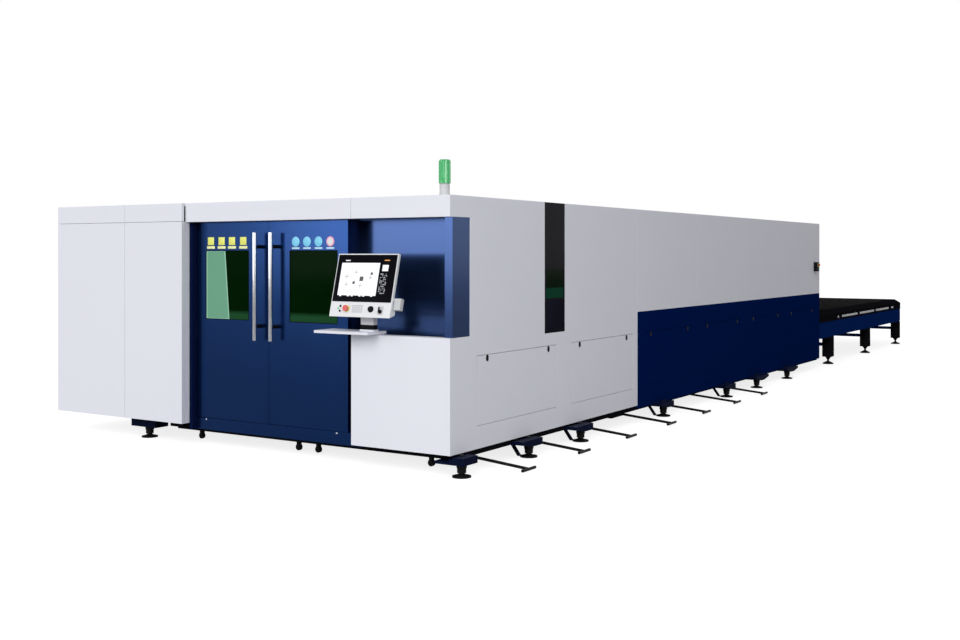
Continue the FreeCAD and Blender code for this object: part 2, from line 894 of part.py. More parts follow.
def face_outline(points, across):
    """A side outline in the head's own directions, as (up, out) points, pushed across it."""
    places = [on_head(0, up, out)[1:] for up, out in points]
    return side_profile(places, (head_middle - across[1], head_middle - across[0]))


def face_block(across, up, out):
    """A straight piece that stands square on the head's front face, over three spans."""
    return face_outline([(up[0], out[0]), (up[1], out[0]), (up[1], out[1]), (up[0], out[1])], across)


def head_shell(margin=0):
    """The housing's outline: thick behind the control strip and thin behind the display."""
    outline = [
        (0, 0), (head_length, 0), (head_length, -head_edge), (strip_height, -head_edge),
        (strip_height - head_edge, -head_foot), (head_foot_rise, -head_foot),
    ]
    return face_outline(outline, (-head_width / 2 - margin, head_width / 2 + margin))


def console_housing():
    """White housing with the membrane's raised keys and the collar that guides the emergency stop."""
    keys = []
    for column in range(key_columns):
        for row in range(key_rows):
            across = key_left + column * key_pitch
            up = key_bottom + row * key_row_pitch
            keys.append(face_block((across, across + key_width), (up, up + key_depth), (-1, key_rise)))
    collar = face_rod(e_stop_across, e_stop_up, (-1, collar_height), collar_radius)
    bore = face_rod(e_stop_across, e_stop_up, (0, collar_height + 1), stem_radius + control_gap)
    save("console_housing", joined(head_shell(), collar, *keys).cut(bore))
    width = head_width / 2 - display_margin
    glass = face_block((-width, width), (display_bottom, display_bottom + display_height), (0, display_thickness))
    save("display_panel", glass)


def console_back():
    """Black cover over the housing's rear, with the box that holds the display's electronics."""
    half = head_width / 2 - cover_rim
    low = strip_height + cover_rim
    face = -head_edge - cover_plate
    plate = face_block((-half, half), (low, head_length - cover_rim), (face, -head_edge))
    rear = face - head_box_depth
    bottom = low + head_box_slope
    top = head_length - 2 * head_box_slope
    outline = [(bottom, face), (top, face), (top - head_box_slope, rear), (bottom + head_box_slope, rear)]
    box = face_outline(outline, (-head_box_width / 2, head_box_width / 2))
    save("console_back", joined(plate, box))


def console_controls():
    """Emergency stop, override knob and joystick."""
    cap_low = collar_height + e_stop_press + 1
    save("e_stop_button", joined(face_rod(e_stop_across, e_stop_up, (e_stop_press + 1, cap_low), stem_radius),
                                 face_rod(e_stop_across, e_stop_up, (cap_low, e_stop_height), e_stop_radius)))
    skirt = face_rod(knob_across, knob_up, (control_gap, knob_skirt_height), knob_radius + knob_skirt)
    grip = face_rod(knob_across, knob_up, (knob_skirt_height, knob_height), knob_radius)
    save("override_knob", joined(skirt, grip))
    half = joystick_bar / 2
    across = (joystick_across - half, joystick_across + half)
    base = face_rod(joystick_across, joystick_up, (control_gap, joystick_root), joystick_width / 2)
    lever = face_block(across, (joystick_up - half, joystick_up + half), (joystick_root, joystick_reach))
    bar = face_block(across, (joystick_up - half, joystick_up + joystick_height),
                     (joystick_reach - half, joystick_reach))
    save("joystick", joined(base, lever, bar))


def console_neck():
    """Column that swivels on its stand, with an arm forward to the housing's foot."""
    low = shelf_top + shelf_boss + stand_height + control_gap
    column = stand_block(stand_width - 2 * control_gap, stand_depth - 2 * control_gap, (low, low + neck_rise))
    root = head_front + head_foot / 2
    arm = slab((swivel_inboard - arm_width / 2, swivel_inboard + arm_width / 2), (root, swivel_back),
               (low + neck_rise - arm_height, low + neck_rise))
    save("console_neck", joined(column, arm).cut(head_shell(panel)))


def side_module():
    """Ribbed module on a short arm at the head's right side."""
    side = head_width / 2
    across = (side + module_gap, side + module_gap + module_width)
    top = module_bottom + module_height
    module = face_block(across, (module_bottom, top), (-module_rear, -module_front))
    arm = face_block((side, across[0]), (top - module_rib_pitch, top - module_groove), (-head_edge, -module_front))
    module = joined(module, arm)
    for index in range(module_rib_count):
        up = module_bottom + module_groove + index * module_rib_pitch
        groove = face_block((across[0] + module_groove, across[1] - module_groove), (up, up + module_groove),
                            (-module_front - module_groove, 0))
        module = module.cut(groove)
    save("side_module", module)


def console_base():
    save("console_base", stand_block(stand_width, stand_depth, (shelf_top + shelf_boss,
                                                                shelf_top + shelf_boss + stand_height)))


# ---- control box and signal tower --------------------------------------------------------------------------------
def control_box():
    back = (side_box_back - side_box_width / 2, side_box_back + side_box_width / 2)
    height = (side_box_height - side_box_length / 2, side_box_height + side_box_length / 2)
    case = slab((-side_box_depth, 0), back, height)
    edges = [edge for edge in case.Edges if abs(edge.tangentAt(edge.FirstParameter).x) > 0.99]
    case = case.makeFillet(side_box_corner, edges)
    for step in (-1, 1):
        case = joined(case, box_rod(step * side_box_width / 5, -side_push_drop, (0, side_push_height), side_push_radius))
    case = joined(case, box_rod(0, e_stop_drop, (0, collar_height), collar_radius))
    save("control_box", case.cut(box_rod(0, e_stop_drop, (0, collar_height + 1), stem_radius + control_gap)))
    cap_low = collar_height + e_stop_press + 1
    save("rear_e_stop", joined(box_rod(0, e_stop_drop, (e_stop_press + 1, cap_low), stem_radius),
                               box_rod(0, e_stop_drop, (cap_low, side_button_height), side_button_radius)))


def box_rod(along, up, out, radius):
    """A round piece that stands out of the side control box, placed from the box's middle."""
    back = side_box_back + along
    height = side_box_height + up
    return rod((-side_box_depth - out[0], back, height), (-side_box_depth - out[1], back, height), radius)


def signal_tower():
    """Turned grey base and a fluted lens."""
    top = body_height + tower_base_height
    base = turned([(0, body_height), (tower_base_radius + 4, body_height), (tower_base_radius + 4, body_height + 10),
                   (tower_base_radius, body_height + 16), (tower_base_radius, top), (0, top)], tower_inboard, tower_back)
    save("tower_base", base)
    lens = turned([(0, top), (tower_lens_radius, top), (tower_lens_radius, tower_top - 10),
                   (tower_lens_radius - 8, tower_top), (0, tower_top)], tower_inboard, tower_back)
    for index in range(tower_flutes):
        angle = 2 * math.pi * index / tower_flutes
        place = (tower_inboard + (tower_lens_radius + 2) * math.cos(angle),
                 tower_back + (tower_lens_radius + 2) * math.sin(angle))
        lens = lens.cut(rod((place[0], place[1], top + 14), (place[0], place[1], tower_top - 24), tower_flute_radius))
    save("tower_lens", lens)


# ---- bed, feet ---------------------------------------------------------------------------------------------------
def bay_back(index):
    """Back distance of the cross beam after a cart bay."""
    return cart_first + (index + 0.5) * cart_pitch


def bed():
    """Two box beams with open pockets in their outer sides, their cross beams, and the sill between their ends."""
    beam = slab((bed_outer, bed_inner), (bed_front, body_length - panel), (bed_beam_bottom, bed_beam_top))
    wall = bed_beam_wall * 4
    pitch = (body_length - panel - bed_front - pocket_spacing) / bed_bay_count
    for index in range(bed_bay_count):
        start = bed_front + pocket_spacing + index * pitch
        pocket = slab((bed_outer - 1, bed_inner - bed_beam_wall), (start, start + pitch - pocket_spacing),
                      (bed_beam_bottom + wall, bed_beam_top - wall))
        beam = beam.cut(pocket)
    splice = slab((bed_outer, bed_inner), bed_splice, (bed_beam_bottom - bed_splice_height, bed_beam_bottom))
    save("bed_side_beams", *both_sides(beam), *both_sides(splice))
    inner = (bed_inner, body_width - bed_inner)
    beams = []
    for index in range(bed_bay_count):
        back = bay_back(index)
        beams.append(slab(inner, (back - cross_beam_width / 2, back + cross_beam_width / 2),
                          (bed_beam_bottom, bed_beam_bottom + cross_beam_height)))
    sill = slab(inner, (sill_back, sill_back + sill_depth), (sill_bottom, sill_bottom + sill_height))
    save("base_frame", *beams, sill)


def bay_feet():
    """Back distances of the feet that stand ahead of a cart's bay."""
    return [cart_first + bay * cart_pitch - cart_width / 2 - foot_to_cart for bay in (1, 2, 4, 6)]


def levelling_foot(inboard, back, seat, thickness):
    """Pad, screw stem, and the nuts that clamp a bracket of this thickness whose underside is the seat."""
    stem, nut, top_nut = foot_stem_radius, foot_nut_radius, foot_top_nut_radius
    low = seat - 2 * foot_nut_height - foot_nut_groove
    top = seat + thickness
    return turned([
        (0, 0), (foot_pad_radius, 0), (foot_pad_radius, foot_pad_height * 0.6), (nut, foot_pad_height), (stem, low - 4),
        (stem, low), (nut - foot_nut_groove, low), (nut - foot_nut_groove, low + foot_nut_height),
        (stem, low + foot_nut_height), (stem, seat - foot_nut_height), (nut, seat - foot_nut_height), (nut, seat),
        (stem, seat), (stem, top), (top_nut, top), (top_nut, top + foot_top_nut_height), (0, top + foot_top_nut_height),
    ], inboard, back)


def bracket(foot, ahead, behind, tapers):
    """Welded foot bracket under the bed beam, with a hollow nose that stands out beyond the side panel.

    Its underside rises over the taper's length towards each of the ends named in tapers, -1 ahead and 1 behind.
    """
    nose = -bracket_reach
    outline = [
        (bed_inner, bracket_bottom), (bed_inner, bed_beam_bottom), (bed_outer, bed_beam_bottom),
        (bed_outer, bracket_top), (-bracket_gap, bracket_top), (-bracket_gap, bracket_nose_top),
        (nose, bracket_nose_top), (nose, bracket_bottom),
    ]
    shape = front_profile(outline, (foot - ahead, foot + behind))
    low, high, wall = bracket_bottom + bracket_floor, bracket_nose_top - bracket_wall, bracket_wall
    room = [
        (bed_outer - wall, low), (bed_outer - wall, bracket_nose_top), (-bracket_gap - wall, bracket_nose_top),
        (-bracket_gap - wall, high), (nose + wall, high), (nose + wall, low),
    ]
    shape = shape.cut(front_profile(room, (foot - ahead + wall, foot + behind - wall)))
    for end in tapers:
        reach = behind if end > 0 else ahead
        tip = foot + end * reach
        root = tip - end * bracket_taper
        under = bracket_bottom - bracket_wall
        wedge = [(root, under), (root, bracket_bottom), (tip + end, bracket_top - bracket_wall), (tip + end, under)]
        shape = shape.cut(side_profile(wedge, (nose - 1, bed_inner + 1)))
    hole = rod((-foot_outset, foot, 0), (-foot_outset, foot, body_height / 2), foot_stem_radius + foot_hole_gap)
    return shape.cut(hole)


def strap(foot):
    """Flat bar from a bracket's underside down to the floor beside its pad."""
    outline = [(strap_top[1], bracket_bottom), (strap_top[0], bracket_bottom), (strap_foot[0], 0), (strap_foot[1], 0)]
    return front_profile(outline, (foot - strap_width / 2, foot + strap_width / 2))


def body_feet():
    """Brackets and levelling feet under the body. The front one and the one behind it stand at the right only."""
    brackets = [bracket(front_foot_back, front_bracket, front_bracket, ())]
    screws = [body_foot(front_foot_back)]
    for foot in bay_feet():
        arm = joined(bracket(foot, bracket_ahead, bracket_behind, (-1,)), strap(foot))
        sides = both_sides if foot > cabinet_depth + bracket_ahead else right_only
        brackets += sides(arm)
        screws += sides(body_foot(foot))
    for foot in (body_length - distance for distance in rear_feet):
        brackets += both_sides(bracket(foot, bracket_ahead, bracket_ahead, (-1, 1)))
        screws += both_sides(body_foot(foot))
    return brackets, screws


def body_foot(back):
    return levelling_foot(-foot_outset, back, bracket_bottom, bracket_nose_top - bracket_bottom)


def right_only(shape):
    return [shape]


def cabinet_feet():
    """Brackets and levelling feet under the source cabinet."""
    rear = cabinet_outer - cabinet_foot_outset
    places = [(body_width + cabinet_foot_inset, cabinet_front_foot, cabinet_front_bracket)]
    places += [(rear, back, cabinet_rear_bracket) for back in cabinet_rear_feet]
    brackets = []
    screws = []
    low = cabinet_bottom - cabinet_bracket_height
    floor = low + cabinet_bracket_floor
    wall = bracket_wall
    for foot, middle, size in places:
        inboard = (foot - size[0] / 2, foot + size[0] / 2)
        back = (middle - size[1] / 2, middle + size[1] / 2)
        box = slab(inboard, back, (low, cabinet_bottom))
        room = slab((inboard[0] + wall, inboard[1] - wall), (back[0] + wall, back[1] + 1), (floor, cabinet_bottom - wall))
        hole = rod((foot, middle, 0), (foot, middle, floor + 1), foot_stem_radius + foot_hole_gap)
        brackets.append(box.cut(room).cut(hole))
        screws.append(levelling_foot(foot, middle, low, cabinet_bracket_floor))
    return brackets, screws


def leg_feet():
    """Waisted feet under the exchange table's legs."""
    near = table_beam_inset + leg_width / 2
    feet = []
    for back in leg_backs:
        for inboard in (near, body_width - near):
            feet.append(turned([
                (0, 0), (leg_pad_radius, 0), (leg_pad_radius, leg_pad_rim), (leg_foot_waist, leg_bottom * 0.4),
                (leg_foot_waist, leg_bottom * 0.6), (leg_foot_top, leg_bottom), (0, leg_bottom),
            ], inboard, back))
    return feet


def feet():
    brackets, screws = body_feet()
    more_brackets, more_screws = cabinet_feet()
    save("foot_brackets", *brackets, *more_brackets)
    save("levelling_feet", *screws, *more_screws, *leg_feet())


# ---- scrap carts -------------------------------------------------------------------------------------------------
def tray_outline(centre, inset, floor, rim):
    """Dished section of a tray, as (back, height) points, drawn in by an inset."""
    wide = cart_width / 2 - inset
    narrow = cart_floor_width / 2 - inset / 3
    shoulder = cart_rim - cart_lip_height + inset / 3
    return [(centre - wide, rim), (centre - wide, shoulder), (centre - narrow, floor), (centre + narrow, floor),
            (centre + wide, shoulder), (centre + wide, rim)]


def tray(inboard, centre):
    """Dished tray with a flat lip all along, and flat end walls."""
    outer = side_profile(tray_outline(centre, 0, cart_floor, cart_rim), inboard)
    inner = side_profile(tray_outline(centre, cart_lip, cart_floor + cart_sheet, cart_rim + 1),
                         (inboard[0] + cart_sheet, inboard[1] - cart_sheet))
    return outer, outer.cut(inner)


def caster(inboard, back, above):
    """Wheel between two cheeks under a crown. What lies above it is cut away, so it fits the tray's slope."""
    axle = caster_radius + caster_floor_gap
    half = caster_width / 2
    wheel = rod((inboard, back - half, axle), (inboard, back + half, axle), caster_radius)
    across = (inboard - caster_radius / 2, inboard + caster_radius / 2)
    cheeks = [slab(across, (back - half - caster_cheek, back - half), (axle - caster_cheek, cart_rim)),
              slab(across, (back + half, back + half + caster_cheek), (axle - caster_cheek, cart_rim))]
    crown = slab(across, (back - half, back + half), (caster_crown, cart_rim))
    return joined(wheel, crown, *cheeks).cut(above)


def scrap_cart(index):
    """Two shallow trays on casters, linked end to end, with the tee-ended drawbar that lies out on the floor."""
    centre = cart_first + index * cart_pitch
    middle = (cart_right + cart_left) / 2
    spans = ((cart_right, middle - cart_link / 2), (middle + cart_link / 2, cart_left))
    trays = []
    casters = []
    for span in spans:
        outer, shell = tray(span, centre)
        trays.append(shell)
        for inboard in (span[0] + caster_inset, span[1] - caster_inset):
            for offset in (-caster_offset, caster_offset):
                casters.append(caster(inboard, centre + offset, outer))
    half = cart_link_width / 2
    low = cart_floor + cart_sheet
    link = slab((spans[0][1], spans[1][0]), (centre - half, centre + half), (low, low + cart_link_height))
    lug_height = (drawbar_height - drawbar_lug / 2, drawbar_height + drawbar_lug / 2)
    lug = slab((cart_right - drawbar_lug, cart_right), (centre - drawbar_lug / 2, centre + drawbar_lug / 2), lug_height)
    tee_inboard = drawbar_radius - drawbar_reach
    shaft = rod((cart_right - drawbar_lug / 2, centre, drawbar_height), (tee_inboard, centre, tee_height), drawbar_radius)
    tee = rod((tee_inboard, centre - drawbar_length / 2, tee_height), (tee_inboard, centre + drawbar_length / 2, tee_height),
              drawbar_radius)
    save("scrap_cart_%d" % (index + 1), *trays, link, *casters, joined(lug, shaft, tee))


# ---- pallets and exchange table ----------------------------------------------------------------------------------
def pallet(name, front, rail):
    """Welded pallet on wheels, with saw-toothed support slats across it. Rail is the height that it runs on."""
    rear = front + pallet_length
    inner = pallet_margin + pallet_member_width
    low = rail + 2
    members = [slab((pallet_margin, inner), (front, rear), (low, low + pallet_member_height))]
    members.append(other_side(members[0]))
    for back in (front, (front + rear - pallet_end_width) / 2, rear - pallet_end_width):
        members.append(slab((inner, body_width - inner), (back, back + pallet_end_width), (low, low + slat_bottom - 3)))
    wheels = []
    axle = rail + pallet_wheel_radius + running_gap
    spacing = (pallet_length - 2 * pallet_wheel_inset) / (pallet_wheel_count - 1)
    for index in range(pallet_wheel_count):
        back = front + pallet_wheel_inset + index * spacing
        wheel = rod((pallet_margin - pallet_wheel_width - pallet_wheel_gap, back, axle), (pallet_margin, back, axle),
                    pallet_wheel_radius)
        wheels += both_sides(wheel)
    save(name + "_frame", joined(*members), *wheels)
    slats = []
    pitch = (pallet_length - 2 * pallet_end_width - 2 * slat_inset) / (slat_count - 1)
    tooth = (body_width - 2 * inner) / slat_teeth
    for index in range(slat_count):
        back = front + pallet_end_width + slat_inset + index * pitch
        outline = [(inner, rail + slat_bottom), (inner, rail + slat_top - slat_tooth)]
        for step in range(slat_teeth):
            outline.append((inner + (step + 0.5) * tooth, rail + slat_top))
            outline.append((inner + (step + 1) * tooth, rail + slat_top - slat_tooth))
        outline.append((body_width - inner, rail + slat_bottom))
        slats.append(front_profile(outline, (back - slat_thickness / 2, back + slat_thickness / 2)))
    save(name + "_slats", *slats)


def pallets():
    upper_front = table_end - table_end_plate - pallet_stop_gap - pallet_length
    pallet("upper_pallet", upper_front, table_beam_top)
    pallet("lower_pallet", upper_front - pallet_travel, table_beam_top - level_gap)


def pallet_rails():
    """Steel ledges at both pallet levels along the bed and the table, and the bright strips on the table's guards."""
    bars = []
    table_inner = table_beam_inset + table_beam_width
    for top in (table_beam_top, table_beam_top - level_gap):
        height = (top - rail_thickness, top)
        cabin = slab((bed_inner, bed_inner + rail_reach), (bed_front + 40, body_length), height)
        table = slab((table_inner, bed_inner + rail_reach), (body_length + 1, table_end - table_end_plate), height)
        bars += both_sides(cabin) + both_sides(table)
    middle = table_beam_top + strip_bar_rise
    height = (middle - strip_bar_height / 2, middle + strip_bar_height / 2)
    for start, end in strip_spans:
        bars += both_sides(slab((-strip_bar_thickness, 0), (body_length + start, body_length + end), height))
    save("pallet_rails", *bars)


def exchange_table():
    """Side beams with their ties, and the legs with their haunches and the end plate."""
    beam_span = (table_beam_inset, table_beam_inset + table_beam_width)
    back = (body_length + 1, table_end - table_end_plate)
    side = slab(beam_span, back, (table_beam_bottom, table_beam_top))
    hollow = slab((beam_span[0] + haunch_sheet, beam_span[1] + 1), (back[0] - 1, back[1] + 1),
                  (table_beam_bottom + flange, table_beam_top - flange))
    pieces = both_sides(side.cut(hollow))
    leg_span = (table_beam_inset, table_beam_inset + leg_width)
    tie_height = (leg_bottom + leg_length, leg_bottom + leg_length + cross_tie_height)
    legs = []
    for place in leg_backs:
        half = leg_length / 2
        column = slab(leg_span, (place - half, place + half), (leg_bottom, table_beam_bottom))
        front = place - half
        haunch = side_profile([(front - haunch_length, table_beam_bottom), (front, table_beam_bottom),
                               (front, table_beam_bottom - haunch_drop)], (leg_span[0], leg_span[0] + haunch_sheet))
        legs += both_sides(joined(column, haunch))
        tie = (place - cross_tie_width / 2, place + cross_tie_width / 2)
        pieces.append(slab((leg_span[1], body_width - leg_span[1]), tie, tie_height))
    save("exchange_frame", *pieces)
    width = body_width
    low = table_beam_bottom + end_plate_foot
    inset = table_beam_inset
    end = front_profile([
        (inset, low), (inset, table_beam_top), (0, table_beam_top), (0, guard_top),
        (guard_slope_in, guard_top + guard_slope_up), (width - guard_slope_in, guard_top + guard_slope_up),
        (width, guard_top), (width, table_beam_top), (width - inset, table_beam_top), (width - inset, low),
    ], (table_end - table_end_plate, table_end))
    save("exchange_legs", *legs, end)
    out = guard_sheet
    outline = [
        (0, table_beam_top), (0, guard_top), (guard_slope_in, guard_top + guard_slope_up),
        (guard_slope_in + out, guard_top + guard_slope_up - out), (out, guard_top - out), (out, table_beam_top),
    ]
    guard = front_profile(outline, (body_length + 1, table_end - table_end_plate))
    save("side_guards", *both_sides(guard))


# ---- gantry ------------------------------------------------------------------------------------------------------
def gantry():
    centre = (bed_outer + bed_inner) / 2
    rail_span = (centre - gantry_rail_width / 2, centre + gantry_rail_width / 2)
    rail_back = (gantry_rail_front, body_length - gantry_rail_end)
    base = slab(rail_span, rail_back, (bed_beam_top, bed_beam_top + gantry_rail_height))
    rack = slab((bed_inner - rack_width - sheet, bed_inner - sheet), rail_back, (bed_beam_top, bed_beam_top + rack_height))
    save("gantry_rails", *both_sides(base), *both_sides(rack))
    low = bed_beam_top + gantry_rail_height + gantry_gap
    outer = bed_outer + gantry_inset
    truck = slab((outer, bed_inner - rack_width - gantry_inset), (gantry_rest, gantry_rest + gantry_truck_length),
                 (low, low + gantry_truck_height))
    trucks = both_sides(truck)
    beam_low = low + gantry_truck_height
    start = gantry_rest + (gantry_truck_length - gantry_beam_depth) / 2
    beam = slab((outer, body_width - outer), (start, start + gantry_beam_depth),
                (beam_low, beam_low + gantry_beam_height))
    wall = gantry_wall
    width = (body_width - 2 * outer - 2 * wall) / gantry_lightening
    for index in range(gantry_lightening):
        side = outer + wall + index * width
        pocket = slab((side + wall / 2, side + width - wall / 2), (start + wall, start + gantry_beam_depth + 1),
                      (beam_low + wall, beam_low + gantry_beam_height - wall))
        beam = beam.cut(pocket)
    rails = []
    for height in (beam_low + wall, beam_low + gantry_beam_height - wall - x_rail_size):
        rails.append(slab((outer + wall, body_width - outer - wall), (start - x_rail_size, start),
                          (height, height + x_rail_size)))
    save("gantry_beam", joined(beam, *rails), *trucks)
    middle = body_width / 2
    span = (middle - carriage_width / 2, middle + carriage_width / 2)
    plate_back = start - x_rail_size - gantry_gap
    face = plate_back - carriage_thickness
    plate = slab(span, (face, plate_back), (beam_low - carriage_drop, beam_low - carriage_drop + carriage_height))
    axis = (middle + motor_inboard, beam_low + motor_rise)
    motor = rod((axis[0], face - motor_length, axis[1]), (axis[0], face, axis[1]), motor_radius)
    save("cross_carriage", joined(plate, motor))
    face -= gantry_gap
    centre_back = face - head_body_depth / 2
    low = beam_low + head_body_rise
    slide = slab((middle - head_body_width / 2, middle + head_body_width / 2), (face - head_body_depth, face),
                 (low, low + head_body_height))
    cone = nozzle_height + nozzle_length
    barrel = turned([(0, nozzle_height), (nozzle_radius, nozzle_height), (nozzle_radius * 2, cone),
                     (head_radius, cone + nozzle_radius), (head_radius, low), (0, low)], middle, centre_back)
    save("cutting_head", joined(slide, barrel))


def main():
    os.makedirs("parts", exist_ok=True)
    bed()
    feet()
    cabinet_front()
    cabinet_walls()
    front_fascia()
    door_frame()
    kick_panel()
    niche_panel()
    console_cabinet()
    console_shelf()
    front_side_panels()
    side_window()
    access_covers()
    upper_panels()
    lower_panels()
    roof_panels()
    rear_shutter()
    laser_source()
    door(1, "left")
    door(-1, "right")
    control_box()
    signal_tower()
    console_base()
    console_housing()
    console_back()
    console_controls()
    console_neck()
    side_module()
    for index in range(cart_count):
        scrap_cart(index)
    pallets()
    pallet_rails()
    exchange_table()
    gantry()


main()
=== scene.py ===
"""Looks of a fibre laser cutting machine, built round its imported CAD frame.

Metres, +Z up. The operator stands on the -Y side and the exchange table lies at +Y. Each sub-assembly is a
class that dresses its CAD nodes and adds the small pieces that belong to it.
"""

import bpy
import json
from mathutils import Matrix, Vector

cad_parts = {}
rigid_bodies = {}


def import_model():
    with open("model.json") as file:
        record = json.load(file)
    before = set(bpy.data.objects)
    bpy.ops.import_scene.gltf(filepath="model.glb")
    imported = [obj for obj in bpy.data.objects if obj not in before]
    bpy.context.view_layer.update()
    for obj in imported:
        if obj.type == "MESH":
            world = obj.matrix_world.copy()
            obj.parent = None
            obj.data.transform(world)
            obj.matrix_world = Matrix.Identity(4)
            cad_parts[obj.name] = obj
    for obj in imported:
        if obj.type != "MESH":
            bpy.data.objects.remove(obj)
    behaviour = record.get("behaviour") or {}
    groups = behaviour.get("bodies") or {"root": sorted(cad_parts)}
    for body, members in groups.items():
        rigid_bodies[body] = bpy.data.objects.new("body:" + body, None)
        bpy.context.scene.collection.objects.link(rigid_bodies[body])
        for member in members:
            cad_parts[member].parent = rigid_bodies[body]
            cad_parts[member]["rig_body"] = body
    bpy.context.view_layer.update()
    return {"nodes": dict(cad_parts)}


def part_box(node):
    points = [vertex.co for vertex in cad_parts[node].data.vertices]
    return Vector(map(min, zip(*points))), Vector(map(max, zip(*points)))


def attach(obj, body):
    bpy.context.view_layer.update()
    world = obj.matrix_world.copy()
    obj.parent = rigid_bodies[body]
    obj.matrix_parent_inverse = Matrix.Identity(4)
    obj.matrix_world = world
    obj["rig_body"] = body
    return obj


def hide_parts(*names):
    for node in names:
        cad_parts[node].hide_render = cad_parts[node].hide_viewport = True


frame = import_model()

import json
import logging
import math
from dataclasses import dataclass
from enum import Enum
from functools import cache

import bmesh
import bpy
from mathutils import Matrix, Vector

LOG = logging.getLogger("laser_cutter")

Color = tuple[float, float, float]
Place = tuple[float, float, float]
Span = tuple[float, float]
Socket = bpy.types.NodeSocket
Feeds = dict[str | int, Socket | float | tuple[float, ...]]

# The machine's corners that the measured places below start from.
RIGHT_FACE = 2.163
FRONT_FACE = -7.930

WINDOW_LAP = 0.014  # of each pane behind its leaf's skin
SINK = 0.0005  # how far a thin piece is let into what carries it


def at(inboard: float, back: float, height: float) -> Vector:
    """Place so far to the left of the right side face, behind the fascia's front and above the floor."""
    return Vector((RIGHT_FACE - inboard, FRONT_FACE + back, height))


# ---- finishes ------------

COAT_SHARE = 0.7  # roughness of a clear coat, as a share of the paint's
CLOUD_DETAIL = 3.0
WEAR_DETAIL = 4.0
WEAR_FINENESS = 5.0  # of the wear's pattern against the cloud's
BUMP_DETAIL = 2.0
BUMP_HEIGHT = 0.0004
WHITE = (1.0, 1.0, 1.0)

# Sockets of a Mix node that blends colours, which share their names with the plain ones.
MIX_FACTOR, MIX_FIRST, MIX_SECOND, MIX_RESULT = 0, 6, 7, 2


class Grain(Enum):
    """Which way a surface's fine marks run."""

    EVEN = (1.0, 1.0, 1.0)
    ALONG_X = (0.02, 1.0, 1.0)
    ALONG_Y = (1.0, 0.02, 1.0)
    ALONG_Z = (1.0, 1.0, 0.02)


@dataclass(frozen=True)
class Finish:
    """One paint, metal, plastic or glass, and the record's slot that it stands for."""

    slot: str
    color: Color
    roughness: float
    metallic: float = 0.0
    specular: float = 0.5
    coat: float = 0.0
    alpha: float = 1.0
    glow: float = 0.0
    cloud: float = 0.03
    cloud_scale: float = 0.9
    wear: float = 0.04
    bump: float = 0.0
    bump_scale: float = 300.0
    grain: Grain = Grain.EVEN


@dataclass(frozen=True)
class BandedFinish(Finish):
    """A pane whose lower part is painted lighter, as painted light in place of the light that shows through
    the glass.
    """

    painted_light_color: Color = (0.02, 0.08, 0.04)
    band_top: float = 1.27
    band_blur: float = 0.04


WHITE_COAT = Finish("white_paint", (0.765, 0.775, 0.840), 0.48, specular=0.05, cloud=0.012, wear=0.05,
                    bump=0.10, bump_scale=420)
BLUE_COAT = Finish("blue_paint", (0.0090, 0.041, 0.160), 0.20, metallic=0.90, specular=0.02, coat=0.18,
                   cloud=0.06, wear=0.03, bump=0.04, bump_scale=260)
# The niche panel's paint is the doors' blue made lighter: a painted sheen in place of the brighter
# reflection that the panel shows.
NICHE_PAINTED_SHEEN = Finish("blue_paint", (0.026, 0.058, 0.170), 0.20, metallic=0.84, specular=0.02, coat=0.30,
                    cloud=0.08, cloud_scale=60, wear=0.03, bump=0.04, bump_scale=260)
NAVY_COAT = Finish("navy_paint", (0.0010, 0.0105, 0.078), 0.45, specular=0.0, cloud=0.04, bump=0.08)
BEAM_COAT = Finish("navy_paint", (0.0030, 0.0190, 0.115), 0.45, specular=0.0, cloud=0.04, bump=0.08)
BLACK_COAT = Finish("black_paint", (0.007, 0.007, 0.009), 0.45, specular=0.0, cloud=0.10, bump=0.10)
NAVY_BLACK = Finish("black_paint", (0.003, 0.006, 0.024), 0.42, specular=0.02, cloud=0.10, bump=0.10)
BLACK_STEEL = Finish("black_steel", (0.008, 0.008, 0.009), 0.34, specular=0.12, cloud=0.15, bump=0.15,
                     bump_scale=180)
DARK_FRAME = Finish("dark_frame", (0.003, 0.008, 0.042), 0.40, specular=0.02, cloud=0.05)
GREY_CASE = Finish("grey_case", (0.56, 0.57, 0.59), 0.45, specular=0.3, cloud=0.02, bump=0.2,
                   bump_scale=500)
BLACK_GLOSS = Finish("black_gloss", (0.004, 0.004, 0.007), 0.14, specular=0.03, cloud=0.0, wear=0.01)
DARK_PLATE = Finish("black_gloss", (0.011, 0.011, 0.020), 0.25, specular=0.0, cloud=0.0)
BLACK_PLASTIC = Finish("black_plastic", (0.008, 0.008, 0.010), 0.48, specular=0.05, cloud=0.05, bump=0.15,
                       bump_scale=600)
WHITE_PLASTIC = Finish("white_plastic", (0.74, 0.75, 0.77), 0.40, specular=0.3, cloud=0.01, bump=0.10,
                       bump_scale=600)
DISPLAY = Finish("display_gloss", (0.003, 0.003, 0.005), 0.12, specular=0.02, cloud=0.0, wear=0.01)
RED_PLASTIC = Finish("red_plastic", (0.66, 0.055, 0.055), 0.28, coat=0.2, cloud=0.02)
# Both panes carry painted light: a lighter band over their lower part.
WINDOW_GLASS = BandedFinish("green_glass", (0.0008, 0.0105, 0.0012), 0.08, specular=0.01, alpha=0.97,
                            cloud=0.0, wear=0.0, painted_light_color=(0.014, 0.066, 0.024))
STRIP_GLASS = BandedFinish("green_glass", (0.0008, 0.008, 0.002), 0.08, specular=0.02, alpha=0.98,
                           cloud=0.0, wear=0.0, painted_light_color=(0.002, 0.046, 0.022), band_top=1.475,
                           band_blur=0.008)
LENS = Finish("green_lens", (0.006, 0.36, 0.085), 0.12, coat=0.6, alpha=0.93, glow=0.16, cloud=0.0)
CHROME = Finish("brushed_bar", (0.90, 0.92, 0.97), 0.10, metallic=1.0, cloud=0.02, bump=0.04,
                bump_scale=200, grain=Grain.ALONG_Z)
BRIGHT_STEEL = Finish("bright_steel", (0.70, 0.71, 0.72), 0.25, metallic=1.0, cloud=0.04,
                      grain=Grain.ALONG_Y, bump=0.10, bump_scale=160)
